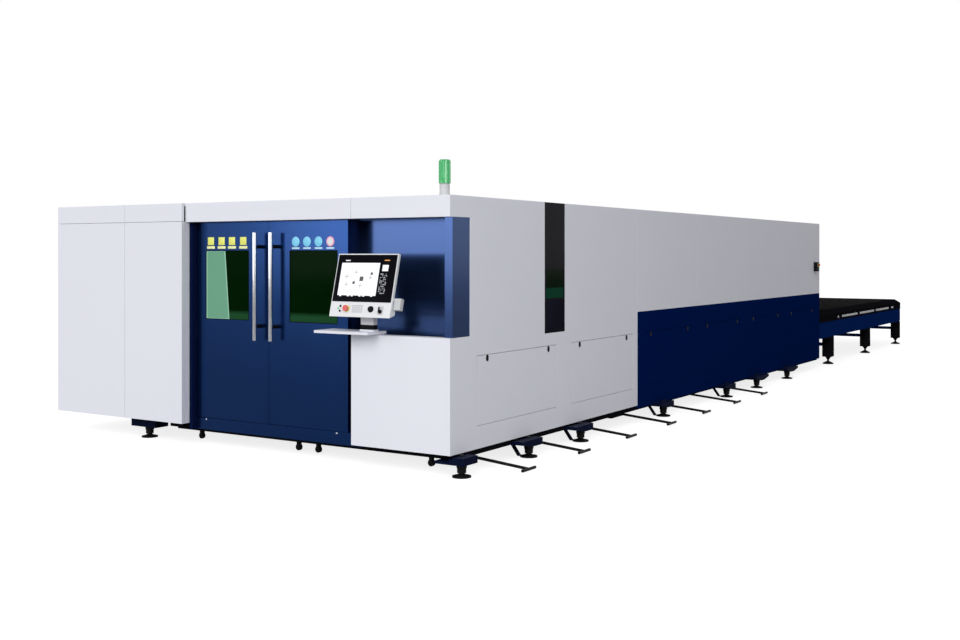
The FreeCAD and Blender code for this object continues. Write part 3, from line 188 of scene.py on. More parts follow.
SLAT_STEEL = Finish("dark_slat", (0.014, 0.013, 0.013), 0.55, metallic=0.2, specular=0.05, cloud=0.35,
                    cloud_scale=6, bump=0.3)
SHEET_ALUMINIUM = Finish("alu_sheet", (0.60, 0.61, 0.62), 0.34, metallic=0.9, grain=Grain.ALONG_X, bump=0.1)
CAST_ALUMINIUM = Finish("alu_cast", (0.50, 0.53, 0.58), 0.45, metallic=0.4, cloud=0.05, bump=0.25,
                        bump_scale=220)
RUBBER = Finish("black_plastic", (0.006, 0.006, 0.007), 0.65, specular=0.03, cloud=0.05, bump=0.1)
YELLOW_PLATE = Finish("red_plastic", (0.80, 0.82, 0.16), 0.35, cloud=0.02)
PALE_YELLOW_PLATE = Finish("red_plastic", (0.86, 0.87, 0.38), 0.35, cloud=0.02)
SKY_PLATE = Finish("white_plastic", (0.20, 0.62, 0.86), 0.35, cloud=0.02)
PALE_SKY_PLATE = Finish("white_plastic", (0.55, 0.80, 0.92), 0.35, cloud=0.02)
ROSE_PLATE = Finish("red_plastic", (0.86, 0.36, 0.52), 0.35, cloud=0.02)
SCREEN_WHITE = Finish("display_gloss", (0.80, 0.81, 0.83), 0.25, glow=0.22, cloud=0.0)
SCREEN_GREY = Finish("display_gloss", (0.42, 0.44, 0.47), 0.25, glow=0.05, cloud=0.0)
SCREEN_DARK = Finish("display_gloss", (0.05, 0.05, 0.06), 0.25, cloud=0.0)
SCREEN_AMBER = Finish("display_gloss", (0.75, 0.32, 0.08), 0.25, glow=0.2, cloud=0.0)
KEY_GREY = Finish("grey_case", (0.25, 0.26, 0.30), 0.45, specular=0.1, cloud=0.0)
GREEN_PLASTIC = Finish("green_lens", (0.10, 0.55, 0.16), 0.3, cloud=0.0)
LAMP_CORE = Finish("green_lens", (0.60, 0.92, 0.70), 0.4, glow=0.55, cloud=0.0)
# Painted reflection: pale green board and its brighter rim behind the left pane, in place of a bright panel
# reflected in the glass.
REFLECTION_BOARD_PAINT = Finish("white_plastic", (0.155, 0.365, 0.240), 0.35, specular=0.05, cloud=0.04, cloud_scale=3)
REFLECTION_RIM_PAINT = Finish("white_plastic", (0.36, 0.66, 0.48), 0.35, specular=0.05, cloud=0.0)


def opaque(color: Color) -> tuple[float, float, float, float]:
    """A colour with full alpha, as colour sockets take it."""
    return (*color, 1.0)


@dataclass
class Value:
    """An output socket of a node tree that takes part in sums."""

    tree: bpy.types.NodeTree
    socket: Socket

    def _maths(self, operation: str, first: "Value | float", second: "Value | float",
               clamp: bool = False) -> "Value":
        """Adds one maths node.

        Args:
            operation: the maths node's operation.
            first: its first value.
            second: its second value.
            clamp: whether the result stays between 0 and 1.

        Returns:
            The result as another value.
        """
        node = self.tree.nodes.new("ShaderNodeMath")
        node.operation = operation
        node.use_clamp = clamp
        for place, value in enumerate((first, second)):
            if isinstance(value, Value):
                self.tree.links.new(value.socket, node.inputs[place])
            else:
                node.inputs[place].default_value = value
        return Value(self.tree, node.outputs[0])

    def __add__(self, other: "Value | float") -> "Value":
        """Sum of two values."""
        return self._maths("ADD", self, other)

    def __sub__(self, other: "Value | float") -> "Value":
        """Difference of two values."""
        return self._maths("SUBTRACT", self, other)

    def __rsub__(self, other: "Value | float") -> "Value":
        """Difference of a number and this value."""
        return self._maths("SUBTRACT", other, self)

    def __mul__(self, other: "Value | float") -> "Value":
        """Product of two values."""
        return self._maths("MULTIPLY", self, other)

    __radd__ = __add__
    __rmul__ = __mul__

    def clamped(self) -> "Value":
        """The value held between 0 and 1."""
        return self._maths("ADD", self, 0.0, clamp=True)


@dataclass
class Nodes:
    """Adds nodes to one node tree and feeds their sockets."""

    tree: bpy.types.NodeTree

    def feed(self, node: bpy.types.Node, inputs: Feeds) -> None:
        """Sets or links some of a node's sockets.

        Args:
            node: the node.
            inputs: values or sockets for its inputs, by name or place.
        """
        for name, value in inputs.items():
            if isinstance(value, Socket):
                self.tree.links.new(value, node.inputs[name])
            else:
                node.inputs[name].default_value = value

    def add(self, kind: str, inputs: Feeds | None = None, **settings: object) -> bpy.types.Node:
        """Adds a node, sets it up and feeds it.

        Args:
            kind: the node's type name.
            inputs: values or sockets for its inputs, by name or place.
            settings: the node's own settings, which are set first.

        Returns:
            The new node.
        """
        made = self.tree.nodes.new(kind)
        for name, value in settings.items():
            setattr(made, name, value)
        self.feed(made, inputs or {})
        return made


class Recipe:
    """Builds the node tree of one finish."""

    def __init__(self, finish: Finish) -> None:
        """Starts a material.

        Args:
            finish: what the material stands for.
        """
        self.finish = finish
        self.material = bpy.data.materials.new(finish.slot)
        self.material.use_nodes = True
        self.nodes = Nodes(self.material.node_tree)
        self.shader = self.nodes.tree.nodes["Principled BSDF"]

    def coordinates(self) -> Socket:
        """The object's own coordinates."""
        return self.nodes.add("ShaderNodeTexCoord").outputs["Object"]

    def noise(self, scale: float, detail: float) -> Value:
        """A noise over the object's own coordinates, drawn out along the finish's grain.

        Args:
            scale: how fine the noise is.
            detail: how many finer layers it has.

        Returns:
            The noise, round about a half.
        """
        mapped = self.nodes.add("ShaderNodeMapping",
                                {"Vector": self.coordinates(), "Scale": self.finish.grain.value})
        made = self.nodes.add("ShaderNodeTexNoise",
                              {"Vector": mapped.outputs[0], "Scale": scale, "Detail": detail})
        return Value(self.nodes.tree, made.outputs[0])

    def mixed(self, factor: Value, first: Socket | Color, second: Color) -> Socket:
        """A colour between two others.

        Args:
            factor: the second colour's share.
            first: the first colour, or the socket that gives it.
            second: the second colour.

        Returns:
            The socket of the blended colour.
        """
        base = first if isinstance(first, Socket) else opaque(first)
        made = self.nodes.add("ShaderNodeMix",
                              {MIX_FACTOR: factor.socket, MIX_FIRST: base, MIX_SECOND: opaque(second)},
                              data_type="RGBA")
        return made.outputs[MIX_RESULT]

    def clouded(self) -> Socket | Color:
        """Makes the finish's colour a little lighter and darker from place to place.

        Returns:
            The plain colour, or the socket of the clouded one.
        """
        finish = self.finish
        if not finish.cloud:
            return finish.color
        low = tuple(part * (1 - finish.cloud) for part in finish.color)
        high = tuple(min(1.0, part * (1 + finish.cloud)) for part in finish.color)
        return self.mixed(self.noise(finish.cloud_scale, CLOUD_DETAIL), low, high)

    def banded(self, color: Socket | Color) -> Socket:
        """Lays a band of painted light over the lower part of a pane's colour.

        Args:
            color: the colour above the band.

        Returns:
            The socket of the pane's colour.
        """
        split = self.nodes.add("ShaderNodeSeparateXYZ", {"Vector": self.coordinates()})
        height = Value(self.nodes.tree, split.outputs["Z"])
        depth = (self.finish.band_top - height) * (1 / self.finish.band_blur)
        return self.mixed(depth.clamped(), color, self.finish.painted_light_color)

    def build(self) -> bpy.types.Material:
        """Makes the finish's material.

        Returns:
            The material.
        """
        finish = self.finish
        self.nodes.feed(self.shader, {
            "Base Color": opaque(finish.color),
            "Roughness": finish.roughness,
            "Metallic": finish.metallic,
            "Specular IOR Level": finish.specular,
            "Coat Weight": finish.coat,
            "Coat Roughness": finish.roughness * COAT_SHARE,
            "Alpha": finish.alpha,
        })
        color = self.clouded()
        # Painted light: the pane's lower part is made lighter.
        if isinstance(finish, BandedFinish):
            color = self.banded(color)
        if isinstance(color, Socket):
            self.nodes.feed(self.shader, {"Base Color": color})
        if finish.wear:
            worn = self.noise(finish.cloud_scale * WEAR_FINENESS, WEAR_DETAIL) - 0.5
            spread = (worn * finish.wear + finish.roughness).clamped()
            self.nodes.feed(self.shader, {"Roughness": spread.socket})
        if finish.bump:
            fine = self.noise(finish.bump_scale, BUMP_DETAIL)
            bump = self.nodes.add("ShaderNodeBump", {
                "Height": fine.socket, "Strength": finish.bump, "Distance": BUMP_HEIGHT})
            self.nodes.feed(self.shader, {"Normal": bump.outputs[0]})
        if finish.glow:
            self.nodes.feed(self.shader, {
                "Emission Color": opaque(finish.color), "Emission Strength": finish.glow})
        return self.material


@cache
def material_of(finish: Finish) -> bpy.types.Material:
    """Makes a finish's material when it is first asked for."""
    return Recipe(finish).build()


# ---- shapes ------------

CREASE = 35.0  # degrees; sharper edges of a smoothly shaded piece stay crisp
FLUTE_CREASE = 20.0  # the same for the fluted lens
MERGE_DISTANCE = 1e-5
FLAT_ANGLE = 0.4  # degrees; faces that differ by less are joined
EASED_ANGLE = 40.0  # degrees; sharper edges are eased
EASED_STEPS = 2
ROD_SIDES = 32
RING_SIDES = 40
BUTTON_SIDES = 24
FILM = 0.0006  # thickness of what is drawn on the console's glass


class Edge(Enum):
    """Width of a dressed node's eased edges."""

    SHARP = 0.0
    THIN = 0.0008
    FINE = 0.0010
    PLAIN = 0.0012
    SOFT = 0.0020
    FULL = 0.0030


def stand(name: str, data: bpy.types.ID) -> bpy.types.Object:
    """Adds an object with some data to the scene.

    Args:
        name: the object's name.
        data: its mesh, lamp or camera.

    Returns:
        The new object.
    """
    made = bpy.data.objects.new(name, data)
    bpy.context.scene.collection.objects.link(made)
    return made


class Shape:
    """A mesh under work, made with bmesh operators."""

    def __init__(self) -> None:
        """Starts an empty mesh."""
        self.mesh = bmesh.new()

    def box(self, x: Span, y: Span, z: Span, round_over: float = 0.0, steps: int = EASED_STEPS,
            lean: float = 0.0) -> "Shape":
        """Adds a block with rounded edges.

        Args:
            x: its span in X.
            y: its span in Y.
            z: its span in Z.
            round_over: radius of its edges.
            steps: steps in each rounding.
            lean: how far the top of its +X side lies inside the bottom.

        Returns:
            This shape.
        """
        low, high = (Vector(corner) for corner in zip(x, y, z))
        middle = (low + high) / 2
        made = bmesh.ops.create_cube(self.mesh, size=1.0)["verts"]
        bmesh.ops.scale(self.mesh, vec=high - low, verts=made)
        bmesh.ops.translate(self.mesh, vec=middle, verts=made)
        if lean:
            upper = [vert for vert in made if vert.co.z > middle.z and vert.co.x > middle.x]
            bmesh.ops.translate(self.mesh, vec=Vector((-lean, 0, 0)), verts=upper)
        if round_over:
            self._round({edge for vert in made for edge in vert.link_edges}, round_over, steps)
        return self

    def rod(self, start: Vector, end: Vector, radius: float, tip: float | None = None,
            sides: int = ROD_SIDES, round_over: float = 0.0) -> "Shape":
        """Adds a round bar or cone between two places.

        Args:
            start: middle of its first end.
            end: middle of its second end.
            radius: its radius.
            tip: radius at the second end, if it differs.
            sides: sides of its outline.
            round_over: radius of its end edges.

        Returns:
            This shape.
        """
        along = end - start
        turn = Vector((0, 0, 1)).rotation_difference(along).to_matrix().to_4x4()
        place = Matrix.Translation((start + end) / 2) @ turn
        second = radius if tip is None else tip
        made = bmesh.ops.create_cone(self.mesh, cap_ends=True, segments=sides, radius1=radius,
                                     radius2=second, depth=along.length, matrix=place)["verts"]
        if round_over:
            faces = {face for vert in made for face in vert.link_faces if len(face.verts) == sides}
            self._round({edge for face in faces for edge in face.edges}, round_over, EASED_STEPS)
        return self

    def toothed(self, x: Span, y: Span, z: Span, teeth: int, depth: float) -> "Shape":
        """Adds a thin upright sheet across the machine with a saw-toothed top edge.

        Args:
            x: its span in X.
            y: its span in Y.
            z: its span in Z.
            teeth: how many teeth it has.
            depth: their depth.

        Returns:
            This shape.
        """
        half = 0.5
        made = bmesh.ops.create_grid(self.mesh, x_segments=2 * teeth, y_segments=1, size=half)["verts"]
        low, high = (Vector(corner) for corner in zip(x, y, z))
        for vert in made:
            across = vert.co.x + half
            between_teeth = round(across * 2 * teeth) % 2 == 0
            top = high.z - (depth if between_teeth else 0.0)
            height = top if vert.co.y > 0 else low.z
            vert.co = Vector((low.x + across * (high.x - low.x), low.y, height))
        faces = list({face for vert in made for face in vert.link_faces})
        pushed = bmesh.ops.extrude_face_region(self.mesh, geom=faces)["geom"]
        moved = [item for item in pushed if isinstance(item, bmesh.types.BMVert)]
        bmesh.ops.translate(self.mesh, vec=Vector((0, high.y - low.y, 0)), verts=moved)
        return self

    def _round(self, edges: set[bmesh.types.BMEdge], radius: float, steps: int) -> None:
        """Rounds some edges."""
        bmesh.ops.bevel(self.mesh, geom=list(edges), offset=radius, offset_type="OFFSET",
                        affect="EDGES", segments=steps, profile=0.5, material=-1, clamp_overlap=True)

    def placed(self, matrix: Matrix) -> "Shape":
        """Moves all that is in the mesh by a matrix."""
        bmesh.ops.transform(self.mesh, matrix=matrix, verts=self.mesh.verts[:])
        return self

    def finished(self, name: str, finish: Finish, body: str = "machine",
                 crease: float | None = CREASE) -> bpy.types.Object:
        """Turns the mesh into a piece of the machine.

        Args:
            name: the piece's name.
            finish: what it is finished in.
            body: the CAD body that it moves with.
            crease: see as_piece.

        Returns:
            The new object.
        """
        bmesh.ops.recalc_face_normals(self.mesh, faces=self.mesh.faces[:])
        data = bpy.data.meshes.new(name)
        self.mesh.to_mesh(data)
        self.mesh.free()
        return as_piece(name, data, finish, body, crease)


def as_piece(name: str, data: bpy.types.Mesh, finish: Finish, body: str,
             crease: float | None) -> bpy.types.Object:
    """Shades a mesh, gives it a material and lets it ride on a body.

    Args:
        name: the piece's name.
        data: its mesh.
        finish: what it is finished in.
        body: the CAD body that it moves with.
        crease: edges sharper than this many degrees stay crisp; None shades it flat.

    Returns:
        The new object.
    """
    if crease is None:
        data.shade_flat()
    else:
        data.shade_smooth()
        data.set_sharp_from_angle(angle=math.radians(crease))
    data.materials.clear()
    data.materials.append(material_of(finish))
    made = stand(name, data)
    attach(made, body)
    return made


def dress(node: str, finish: Finish, edge: Edge = Edge.PLAIN, crease: float | None = None) -> None:
    """Stands a cleaned copy of a CAD node in its place, with its edges eased.

    Args:
        node: the CAD node's name.
        finish: what it is finished in.
        edge: how far its edges are eased.
        crease: see as_piece; turned pieces have one.
    """
    source = frame["nodes"][node]
    work = bmesh.new()
    work.from_mesh(source.data)
    bmesh.ops.remove_doubles(work, verts=work.verts[:], dist=MERGE_DISTANCE)
    bmesh.ops.dissolve_limit(work, angle_limit=math.radians(FLAT_ANGLE), verts=work.verts[:],
                             edges=work.edges[:])
    data = bpy.data.meshes.new(node + "_finished")
    work.to_mesh(data)
    work.free()
    made = as_piece(node + "_finished", data, finish, source["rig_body"], crease)
    if edge is not Edge.SHARP:
        eased = made.modifiers.new("eased edges", "BEVEL")
        eased.width = edge.value
        eased.segments = EASED_STEPS
        eased.limit_method = "ANGLE"
        eased.angle_limit = math.radians(EASED_ANGLE)
        eased.use_clamp_overlap = True
    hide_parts(node)


def paint(node: str, finish: Finish) -> None:
    """Paints a CAD node as it is.

    Args:
        node: the CAD node's name.
        finish: what it is finished in.
    """
    shown = frame["nodes"][node]
    shown.data.materials.clear()
    shown.data.materials.append(material_of(finish))


# ---- sub-assemblies ------------


@dataclass
class Casing:
    """The white and blue panels of the body and of the source cabinet."""

    white: tuple[str, ...] = ("cabinet_front", "cabinet_walls", "front_fascia", "console_cabinet",
                              "front_side_panels", "front_access_covers", "upper_panels", "roof_panels")
    navy: tuple[str, ...] = ("lower_panels", "rear_access_covers")
    screw_places: Span = (2.797, 1.242)
    screw_height: float = 0.245
    screw_radius: float = 0.009
    screw_tip: float = 0.006
    screw_length: float = 0.004
    screw_sink: float = 0.001
    screw_sides: int = 20

    def build(self) -> None:
        """Dresses the panels and adds the kick panel's screws."""
        for node in self.white:
            dress(node, WHITE_COAT)
        dress("kick_panel", BLUE_COAT)
        dress("niche_panel", NICHE_PAINTED_SHEEN)
        for node in self.navy:
            dress(node, NAVY_COAT)
        dress("cover_latches", BLACK_PLASTIC, Edge.THIN)
        self._kick_screws()

    def _kick_screws(self) -> None:
        """Two bright screws under the leaves."""
        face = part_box("kick_panel")[0].y
        shape = Shape()
        for inboard in self.screw_places:
            start = Vector((RIGHT_FACE - inboard, face + self.screw_sink, self.screw_height))
            end = start - Vector((0, self.screw_length, 0))
            shape.rod(start, end, self.screw_radius, self.screw_tip, self.screw_sides)
        shape.finished("kick_screws", CHROME)


@dataclass
class WindowStrip:
    """Black strip with its green pane in the right side wall."""

    plate_height: Span = (1.090, 1.360)
    plate_margin: float = 0.020
    plate_sink: float = 0.002
    plate_proud: float = 0.0008
    plate_round: float = 0.0006

    def build(self) -> None:
        """Dresses the strip and adds the dark plate over the lower part of its pane."""
        dress("side_window_frame", BLACK_GLOSS)
        paint("side_window_glass", STRIP_GLASS)
        low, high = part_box("side_window_frame")
        thick = (high.x - self.plate_sink, high.x + self.plate_proud)
        along = (low.y + self.plate_margin, high.y - self.plate_margin)
        plate = Shape().box(thick, along, self.plate_height, self.plate_round)
        plate.finished("strip_plate", DARK_PLATE)


@dataclass
class Leaf:
    """One sliding door leaf with its pane, gasket and bar handle."""

    side: str
    gasket_width: float = 0.006
    gasket_proud: float = 0.001
    gasket_round: float = 0.001
    sleeve_inset: float = 0.125  # from the bar's ends
    sleeve_radius: float = 0.0165
    sleeve_front: float = 0.034  # behind the bar's front

    def build(self) -> None:
        """Dresses the leaf and adds the gasket round its window and the bar's black sleeves, whose black is
        painted shade.
        """
        dress("door_" + self.side, BLUE_COAT)
        paint("window_" + self.side, WINDOW_GLASS)
        dress("handle_" + self.side, CHROME, Edge.SOFT, CREASE)
        self._gasket()
        self._shade_sleeves()

    def body(self) -> str:
        """The CAD body that this leaf moves with."""
        return "leaf_" + self.side

    def _gasket(self) -> None:
        """A black rubber edge inside the window's opening."""
        low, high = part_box("window_" + self.side)
        x = (low.x + WINDOW_LAP, high.x - WINDOW_LAP)
        z = (low.z + WINDOW_LAP, high.z - WINDOW_LAP)
        thick = (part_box("door_" + self.side)[0].y - self.gasket_proud, low.y)
        wide = self.gasket_width
        shape = Shape()
        for part in ((x[0], x[0] + wide), (x[1] - wide, x[1])):
            shape.box(part, thick, z, self.gasket_round)
        for part in ((z[0], z[0] + wide), (z[1] - wide, z[1])):
            shape.box(x, thick, part, self.gasket_round)
        shape.finished(f"window_gasket_{self.side}", RUBBER, self.body())

    def _shade_sleeves(self) -> None:
        """Black sleeves over the two standoffs of the bar, whose black is painted shade in place of the
        shadows and dark reflections on the standoffs.
        """
        low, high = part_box("handle_" + self.side)
        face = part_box("door_" + self.side)[0].y
        middle = (low.x + high.x) / 2
        shape = Shape()
        for height in (low.z + self.sleeve_inset, high.z - self.sleeve_inset):
            start = Vector((middle, face - SINK, height))
            shape.rod(start, Vector((middle, low.y + self.sleeve_front, height)), self.sleeve_radius)
        shape.finished(f"standoff_shade_sleeves_{self.side}", RUBBER, self.body())


@dataclass
class Doors:
    """Both leaves, the blank plates over their windows, and the frame round them."""

    plate_places: tuple[float, ...] = (2.738, 2.602, 2.471, 2.331)
    plate_width: float = 0.078
    plate_height: Span = (1.862, 1.934)
    plate_thickness: float = 0.002
    plate_round: float = 0.0009
    bar_width: float = 0.100
    bar_height: Span = (1.828, 1.852)
    disc_places: tuple[float, ...] = (1.703, 1.574, 1.444, 1.312)
    disc_height: float = 1.888
    disc_radius: float = 0.044
    disc_round: float = 0.0008
    disc_bar_width: float = 0.086
    disc_bar_height: Span = (1.824, 1.838)
    centre_share: float = 0.72  # of the last disc's radius
    centre_thickness: float = 0.0008
    board_left: float = 2.797
    board_top_right: float = 2.560
    board_bottom_right: float = 2.508
    board_edge: float = 0.010
    board_thickness: float = 0.001
    board_gap: float = 0.0012  # from the pane's front to the front of its bright edge
    board_step: float = 0.0006
    strip_gap: float = 0.006
    strip_thickness: float = 0.003
    strip_lap: float = 0.030

    def build(self) -> None:
        """Builds the doors."""
        dress("door_frame", DARK_FRAME)
        for side in ("left", "right"):
            Leaf(side).build()
        self._painted_shade_strip()
        self._plates()
        self._discs()
        self._add_painted_reflection()

    def _painted_shade_strip(self) -> None:
        """Upright behind the right leaf's edge, which closes the slot beside the console cabinet; its dark
        colour is painted shade, standing in for the shadow in that gap.
        """
        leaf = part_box("door_right")[1]
        front = leaf.y + self.strip_gap
        across = (leaf.x - self.strip_lap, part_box("console_cabinet")[0].x + self.strip_lap)
        height = (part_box("base_frame")[1].z - SINK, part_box("niche_panel")[0].z + SINK)
        strip = Shape().box(across, (front, front + self.strip_thickness), height, self.plate_round)
        strip.finished("painted_shade_strip", DARK_FRAME)

    def _plate(self, shape: Shape, middle: float, width: float, height: Span) -> None:
        """Adds a thin plate on the leaves' face, its middle so far inboard of the right side face."""
        face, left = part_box("door_left")[0].y, RIGHT_FACE - middle - width / 2
        shape.box((left, left + width), (face - self.plate_thickness, face + SINK), height, self.plate_round)

    def _plates(self) -> None:
        """Blank yellow plates over the left window, each with a bar under it."""
        upper, lower = Shape(), Shape()
        for middle in self.plate_places:
            self._plate(upper, middle, self.plate_width, self.plate_height)
            self._plate(lower, middle, self.bar_width, self.bar_height)
        upper.finished("yellow_plates", YELLOW_PLATE, "leaf_left")
        lower.finished("yellow_bars", PALE_YELLOW_PLATE, "leaf_left")

    def _discs(self) -> None:
        """Blank round plates over the right window, each with a bar under it."""
        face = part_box("door_right")[0].y
        blue, rose, centre, bars = Shape(), Shape(), Shape(), Shape()
        for middle in self.disc_places:
            start = Vector((RIGHT_FACE - middle, face + SINK, self.disc_height))
            end = start - Vector((0, self.plate_thickness + SINK, 0))
            last = middle == self.disc_places[-1]
            (rose if last else blue).rod(start, end, self.disc_radius, round_over=self.disc_round)
            if last:
                front = end - Vector((0, self.centre_thickness, 0))
                centre.rod(end, front, self.disc_radius * self.centre_share)
            self._plate(bars, middle, self.disc_bar_width, self.disc_bar_height)
        blue.finished("round_plates", SKY_PLATE, "leaf_right")
        rose.finished("round_plate_rose", ROSE_PLATE, "leaf_right")
        centre.finished("round_plate_centre", WHITE_PLASTIC, "leaf_right")
        bars.finished("round_plate_bars", PALE_SKY_PLATE, "leaf_right")

    def _add_painted_reflection(self) -> None:
        """Pale board behind the left window with a brighter rim, a painted reflection that stands in for a
        bright panel reflected in the glass.
        """
        low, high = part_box("window_left")
        lean = self.board_top_right - self.board_bottom_right
        left, right = RIGHT_FACE - self.board_left, RIGHT_FACE - self.board_bottom_right
        bottom, top = low.z + WINDOW_LAP, high.z - WINDOW_LAP
        for name, finish, edge, step in (("painted_reflection_rim", REFLECTION_RIM_PAINT, 0.0, 0.0),
                                         ("painted_reflection_board", REFLECTION_BOARD_PAINT, self.board_edge, self.board_step)):
            front = low.y - self.board_gap - step
            board = Shape().box((left + edge, right - edge), (front, front + self.board_thickness),
                                (bottom + edge, top - edge), lean=lean)
            board.finished(name, finish, "leaf_left")


@dataclass
class Console:
    """The operator's console: base, neck, leaning head, its display and controls.

    Places on the head run across and up from its foot's middle, and a third number is half a width.
    """

    middle_inboard: float = 0.759
    foot_back: float = -0.19534
    foot_height: float = 1.268
    lean: float = math.radians(14.2)
    glass: float = 0.0042  # from the head's face to the picture
    cross_front: float = 0.0009
    mark_front: float = 0.0010
    area: tuple[Span, Span] = ((-0.256, 0.139), (0.178, 0.452))
    tabs: tuple[float, ...] = (-0.235, -0.155, -0.115, -0.035, 0.005, 0.085)
    tab_width: float = 0.022
    tab_up: Span = (0.170, 0.179)
    marks: tuple[Place, ...] = ((-0.030, 0.318, 0.019), (-0.105, 0.285, 0.012), (0.068, 0.362, 0.011))
    crosses: tuple[Place, ...] = ((-0.185, 0.335, 0.022), (-0.180, 0.270, 0.018), (-0.095, 0.372, 0.016),
                                  (-0.035, 0.262, 0.018), (0.060, 0.328, 0.016))
    cross_half: float = 0.003
    tile: tuple[Span, Span] = ((0.168, 0.228), (0.384, 0.436))
    tile_round: float = 0.0002
    title_bar: tuple[Span, Span] = ((-0.222, -0.172), (0.468, 0.476))
    amber_bar: tuple[Span, Span] = ((0.180, 0.232), (0.470, 0.478))
    list_rows: int = 12
    list_columns: int = 4
    list_corner: Span = (0.158, 0.196)
    list_pitch: Span = (0.018, 0.0145)
    list_height: float = 0.008
    list_widths: tuple[float, ...] = (0.0040, 0.0075, 0.0110, 0.0145)
    stop_place: Span = (-0.138, 0.068)
    ring_radius: float = 0.0285
    ring_thickness: float = 0.0007
    black_buttons: tuple[Place, ...] = ((-0.205, 0.088, 0.009), (-0.205, 0.048, 0.009))
    black_height: float = 0.006
    green_button: Place = (-0.225, 0.068, 0.008)
    green_height: float = 0.005
    button_round: float = 0.001
    stick_plate: tuple[Span, Span, Span] = ((0.180, 0.236), (0.022, 0.096), (-SINK, 0.0002))
    key_columns: int = 5
    key_rows: int = 4
    key_corner: Span = (-0.077, 0.039)
    key_pitch: Span = (0.022, 0.017)
    key_size: Span = (0.012, 0.008)
    key_out: Span = (0.0015, 0.0024)

    def build(self) -> None:
        """Dresses the console and draws a plain display."""
        dress("console_shelf", WHITE_COAT, Edge.SOFT)
        dress("console_base", BLACK_PLASTIC, Edge.SOFT)
        dress("console_neck", WHITE_PLASTIC, Edge.SOFT)
        dress("console_housing", WHITE_PLASTIC)
        dress("console_back", BLACK_PLASTIC, Edge.FINE)
        dress("display_panel", DISPLAY, Edge.FINE)
        dress("side_module", GREY_CASE, Edge.FINE)
        dress("e_stop_button", RED_PLASTIC, Edge.FULL, CREASE)
        dress("override_knob", BLACK_PLASTIC, Edge.SOFT, CREASE)
        dress("joystick", BLACK_PLASTIC, Edge.FINE)
        self._screen()
        self._side_column()
        self._controls()
        self._keys()

    def plane(self) -> Matrix:
        """Works out where the head's face lies.

        Returns:
            The matrix from the face (across, up, out) to the machine's frame.
        """
        across = Vector((1, 0, 0))
        up = Vector((0, math.sin(self.lean), math.cos(self.lean)))
        out = Vector((0, -math.cos(self.lean), math.sin(self.lean)))
        turn = Matrix((across, up, out)).transposed().to_4x4()
        return Matrix.Translation(at(self.middle_inboard, self.foot_back, self.foot_height)) @ turn

    def _drawn(self, shape: Shape, across: Span, up: Span, front: float = FILM,
               round_over: float = 0.0) -> None:
        """Adds a thin block on the front of the glass."""
        shape.box(across, up, (self.glass, self.glass + front), round_over)

    def _button(self, shape: Shape, button: Place, height: float) -> None:
        """Adds a round button that stands on the head's face."""
        start, end = Vector((*button[:2], 0)), Vector((*button[:2], height))
        shape.rod(start, end, button[2], sides=BUTTON_SIDES, round_over=self.button_round)

    def _face_piece(self, shape: Shape, name: str, finish: Finish) -> None:
        """Places a shape drawn on the head's face."""
        shape.placed(self.plane()).finished(name, finish, "console")

    def _screen(self) -> None:
        """A white drawing area with a few plain marks in it."""
        area, marks, lines = Shape(), Shape(), Shape()
        self._drawn(area, *self.area)
        for left in self.tabs:
            self._drawn(area, (left, left + self.tab_width), self.tab_up)
        self._face_piece(area, "screen_area", SCREEN_WHITE)
        for across, up, size in self.marks:
            self._drawn(marks, (across - size, across + size), (up - size, up + size), self.mark_front)
        self._face_piece(marks, "screen_marks", SCREEN_DARK)
        thin = self.cross_half
        for across, up, size in self.crosses:
            for wide, high in ((size, thin), (thin, size)):
                self._drawn(lines, (across - wide, across + wide), (up - high, up + high), self.cross_front)
        self._face_piece(lines, "screen_lines", SCREEN_GREY)

    def _side_column(self) -> None:
        """A plain tile over rows of bars right of the drawing area, and two bars at the top."""
        tiles, greys, amber = Shape(), Shape(), Shape()
        self._drawn(tiles, *self.tile, round_over=self.tile_round)
        self._drawn(tiles, *self.title_bar)
        self._face_piece(tiles, "side_tiles", SCREEN_WHITE)
        for row in range(self.list_rows):
            low = self.list_corner[1] + row * self.list_pitch[1]
            for column in range(self.list_columns):
                left = self.list_corner[0] + column * self.list_pitch[0]
                width = self.list_widths[(row * 5 + column * 3) % len(self.list_widths)]
                if (row * 7 + column * 4) % 5:
                    self._drawn(greys, (left, left + width), (low, low + self.list_height))
        self._face_piece(greys, "side_marks", SCREEN_GREY)
        self._drawn(amber, *self.amber_bar)
        self._face_piece(amber, "side_bar", SCREEN_AMBER)

    def _controls(self) -> None:
        """Ring under the emergency stop, the small buttons beside it and the joystick's plate."""
        ring, small, green = Shape(), Shape(), Shape()
        foot = Vector((*self.stop_place, 0))
        ring.rod(foot, foot + Vector((0, 0, self.ring_thickness)), self.ring_radius, sides=RING_SIDES)
        self._face_piece(ring, "stop_ring", YELLOW_PLATE)
        for button in self.black_buttons:
            self._button(small, button, self.black_height)
        self._face_piece(small, "small_buttons", BLACK_PLASTIC)
        self._button(green, self.green_button, self.green_height)
        self._face_piece(green, "green_button", GREEN_PLASTIC)
        self._face_piece(Shape().box(*self.stick_plate), "joystick_plate", GREY_CASE)

    def _keys(self) -> None:
        """A grey cap on each of the membrane's keys."""
        caps = Shape()
        for column in range(self.key_columns):
            left = self.key_corner[0] + column * self.key_pitch[0]
            for row in range(self.key_rows):
                low = self.key_corner[1] + row * self.key_pitch[1]
                caps.box((left, left + self.key_size[0]), (low, low + self.key_size[1]), self.key_out)
        self._face_piece(caps, "key_caps", KEY_GREY)


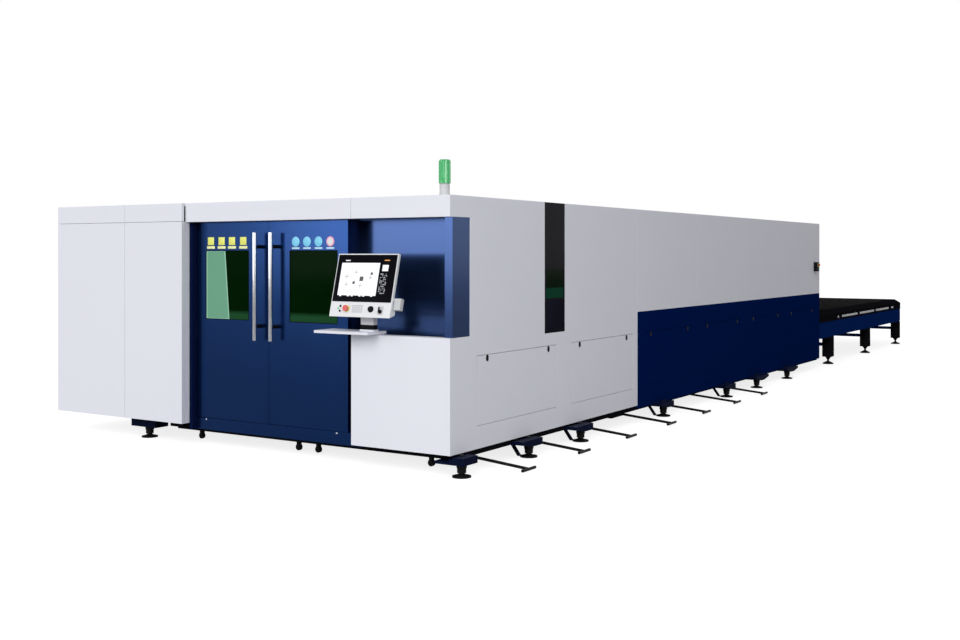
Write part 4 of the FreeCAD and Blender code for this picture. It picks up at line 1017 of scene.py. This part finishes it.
@dataclass
class SideControls:
    """Control box at the rear of the right side."""

    ring_out: float = 0.055  # from the right side face
    ring_thickness: float = 0.001
    ring_radius: float = 0.030
    cap_out: float = 0.060
    cap_thickness: float = 0.0015
    cap_radius: float = 0.008
    cap_step: float = 0.024
    cap_drop: float = 0.063  # under the stop's middle

    def build(self) -> None:
        """Dresses the box and adds its two buttons' caps and the stop's ring."""
        dress("control_box", BLACK_PLASTIC, Edge.FINE)
        dress("rear_e_stop", RED_PLASTIC, Edge.SOFT, CREASE)
        low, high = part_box("rear_e_stop")
        middle = (low + high) / 2
        ring, caps = Shape(), Shape()
        start = Vector((RIGHT_FACE + self.ring_out, middle.y, middle.z))
        ring.rod(start, start + Vector((self.ring_thickness, 0, 0)), self.ring_radius, sides=RING_SIDES)
        ring.finished("box_ring", YELLOW_PLATE)
        for step in (-self.cap_step, self.cap_step):
            start = Vector((RIGHT_FACE + self.cap_out, middle.y + step, middle.z - self.cap_drop))
            caps.rod(start, start + Vector((self.cap_thickness, 0, 0)), self.cap_radius, sides=BUTTON_SIDES)
        caps.finished("box_caps", GREEN_PLASTIC)


@dataclass
class Tower:
    """Signal tower on the roof's front right corner."""

    core_radius: float = 0.018
    core_foot: float = 0.004
    core_head: float = 0.022

    def build(self) -> None:
        """Dresses the tower and lights its lens from inside."""
        dress("tower_base", GREY_CASE, Edge.SOFT, CREASE)
        dress("tower_lens", LENS, Edge.SHARP, FLUTE_CREASE)
        low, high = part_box("tower_lens")
        middle = (low + high) / 2
        start = Vector((middle.x, middle.y, low.z + self.core_foot))
        end = Vector((middle.x, middle.y, high.z - self.core_head))
        Shape().rod(start, end, self.core_radius).finished("lamp_core", LAMP_CORE)


@dataclass
class Undercarriage:
    """Bed, feet and scrap carts."""

    carts: int = 7

    def build(self) -> None:
        """Dresses what stands under the casing."""
        dress("bed_side_beams", BLACK_COAT)
        dress("base_frame", BLACK_COAT)
        dress("foot_brackets", NAVY_BLACK, Edge.SOFT)
        paint("levelling_feet", BLACK_STEEL)
        for index in range(self.carts):
            dress(f"scrap_cart_{index + 1}", BLACK_STEEL, Edge.FINE, CREASE)


@dataclass
class Slats:
    """Support slats of one pallet: thin sheets with a saw-toothed top edge."""

    level: str
    count: int = 96
    teeth: int = 56
    thickness: float = 0.004
    tooth: float = 0.030

    def build(self) -> None:
        """Stands the full set of slats in the place of the CAD node's few."""
        low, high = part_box(f"{self.level}_pallet_slats")
        shape = Shape()
        pitch = (high.y - low.y - self.thickness) / (self.count - 1)
        for index in range(self.count):
            front = low.y + index * pitch
            shape.toothed((low.x, high.x), (front, front + self.thickness), (low.z, high.z), self.teeth,
                          self.tooth)
        made = shape.finished(f"{self.level}_slats_full", SLAT_STEEL, f"pallet_{self.level}", None)
        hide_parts(f"{self.level}_pallet_slats")


@dataclass
class Exchange:
    """Exchange table, both pallets and the ledges that they run on."""

    levels: tuple[str, str] = ("upper", "lower")

    def build(self) -> None:
        """Dresses the table and the pallets."""
        dress("exchange_frame", BEAM_COAT, Edge.SOFT)
        dress("exchange_legs", BLACK_COAT, Edge.SOFT)
        dress("side_guards", BLACK_COAT)
        dress("pallet_rails", BRIGHT_STEEL, Edge.FINE)
        for level in self.levels:
            dress(f"{level}_pallet_frame", BLACK_COAT, Edge.FINE)
            Slats(level).build()
        dress("rear_shutter", SHEET_ALUMINIUM)


@dataclass
class Cutting:
    """What stands inside the cabin: gantry, carriage, head and laser source."""

    chain_links: int = 46
    chain_margin: float = 0.3  # at each end of the beam
    chain_half: float = 0.05
    chain_height: float = 0.05
    link_share: float = 0.86  # of the links' pitch
    link_round: float = 0.004

    def build(self) -> None:
        """Dresses the inner machinery and adds the cable chain."""
        dress("laser_source", GREY_CASE, Edge.FINE)
        dress("gantry_rails", BRIGHT_STEEL, Edge.FINE)
        dress("gantry_beam", CAST_ALUMINIUM, Edge.FULL)
        dress("cross_carriage", CAST_ALUMINIUM, Edge.FULL)
        dress("cutting_head", BRIGHT_STEEL, Edge.FINE)
        self._cable_chain()

    def _cable_chain(self) -> None:
        """Links of the cable chain on top of the gantry beam."""
        low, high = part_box("gantry_beam")
        middle = (low.y + high.y) / 2
        deep = (middle - self.chain_half, middle + self.chain_half)
        pitch = (high.x - low.x - 2 * self.chain_margin) / self.chain_links
        shape = Shape()
        for link in range(self.chain_links):
            left = low.x + self.chain_margin + link * pitch
            shape.box((left, left + pitch * self.link_share), deep, (high.z, high.z + self.chain_height),
                      self.link_round, steps=1)
        shape.finished("cable_chain", BLACK_PLASTIC, "gantry")


# ---- stage ------------


@dataclass(frozen=True)
class Panel:
    """A rectangular soft lamp and the place that it faces."""

    name: str
    place: Place
    target: Place
    size: Span
    power: float

    def build(self) -> None:
        """Stands the lamp in its place."""
        data = bpy.data.lights.new(self.name, "AREA")
        data.shape = "RECTANGLE"
        data.size, data.size_y = self.size
        data.energy = self.power
        made = stand(self.name, data)
        made.location = self.place
        facing = Vector(self.target) - Vector(self.place)
        made.rotation_euler = facing.to_track_quat("-Z", "Y").to_euler()


@dataclass
class Studio:
    """Camera, lamps, floor and white surroundings."""

    camera_right: float = 4.985
    camera_back: float = -7.445
    camera_height: float = 1.78
    heading: float = math.atan2(0.534, 0.845)
    lens: float = 42.56
    sensor: float = 36.0
    horizon_shift: float = -0.06875
    far_clip: float = 200.0
    ambient: float = 0.34  # light of the surroundings on the machine
    floor_radius: float = 90.0
    floor_sides: int = 96
    floor_drop: float = 0.0005
    floor_color: Color = (0.42, 0.42, 0.43)
    floor_roughness: float = 0.9
    floor_seen: float = 0.81  # glow that the camera alone sees
    sun_power: float = 1.55
    sun_spread: float = math.radians(40)
    sun_turn: Place = (math.radians(58), 0.0, math.radians(10))
    panels: tuple[Panel, ...] = (
        Panel("front_panel", (-8.5, -24.0, 4.6), (0.3, -8.0, 1.2), (9.0, 7.0), 600.0),
        Panel("side_panel", (10.5, -13.0, 4.5), (2.1, -6.5, 1.2), (5.0, 4.0), 330.0),
        Panel("rear_panel", (-16.0, 16.0, 7.0), (-1.2, 2.0, 1.2), (9.0, 7.0), 620.0),
    )

    def build(self) -> None:
        """Sets up the whole stage."""
        bpy.context.scene.view_settings.view_transform = "Standard"
        self._camera()
        self._world()
        self._floor()
        self._sun()
        for panel in self.panels:
            panel.build()

    def _camera(self) -> None:
        """A level camera at a standing person's eye height."""
        data = bpy.data.cameras.new("camera")
        data.lens = self.lens
        data.sensor_width = self.sensor
        data.shift_y = self.horizon_shift
        data.clip_end = self.far_clip
        made = stand("camera", data)
        made.location = at(-self.camera_right, self.camera_back, self.camera_height)
        made.rotation_euler = (math.radians(90), 0.0, self.heading)
        bpy.context.scene.camera = made

    def _world(self) -> None:
        """Surroundings that are white to the camera, in glass and in metal, and softer as light."""
        world = bpy.data.worlds.new("surroundings")
        bpy.context.scene.world = world
        world.use_nodes = True
        nodes = Nodes(world.node_tree)
        rays = nodes.add("ShaderNodeLightPath").outputs
        seen = Value(nodes.tree, rays["Is Camera Ray"]) + Value(nodes.tree, rays["Is Transmission Ray"])
        seen = seen + Value(nodes.tree, rays["Is Glossy Ray"])
        strength = seen.clamped() * (1.0 - self.ambient) + self.ambient
        nodes.feed(nodes.tree.nodes["Background"], {"Color": opaque(WHITE), "Strength": strength.socket})

    def _floor(self) -> None:
        """A plain pale floor that keeps the machine's soft shadow."""
        shape = bmesh.new()
        bmesh.ops.create_circle(shape, cap_ends=True, segments=self.floor_sides, radius=self.floor_radius)
        data = bpy.data.meshes.new("floor")
        shape.to_mesh(data)
        shape.free()
        floor = stand("floor", data)
        floor.location = (0.0, 0.0, -self.floor_drop)
        material = bpy.data.materials.new("pale_floor")
        material.use_nodes = True
        nodes = Nodes(material.node_tree)
        rays = nodes.add("ShaderNodeLightPath").outputs
        glow = Value(nodes.tree, rays["Is Camera Ray"]) * self.floor_seen
        nodes.feed(nodes.tree.nodes["Principled BSDF"], {
            "Base Color": opaque(self.floor_color),
            "Roughness": self.floor_roughness,
            "Specular IOR Level": 0.0,
            "Emission Color": opaque(WHITE),
            "Emission Strength": glow.socket,
        })
        data.materials.append(material)

    def _sun(self) -> None:
        """A broad soft sun from the front left."""
        data = bpy.data.lights.new("soft_sun", "SUN")
        data.energy = self.sun_power
        data.angle = self.sun_spread
        stand("soft_sun", data).rotation_euler = self.sun_turn


def main() -> None:
    """Builds each sub-assembly in order."""
    logging.basicConfig(level=logging.INFO, format="%(message)s")
    assemblies = (Studio(), Casing(), WindowStrip(), Doors(), Console(), SideControls(), Tower(),
                  Undercarriage(), Exchange(), Cutting())
    for assembly in assemblies:
        assembly.build()
        LOG.info("built %s", type(assembly).__name__)


if __name__ == "__main__":
    main()
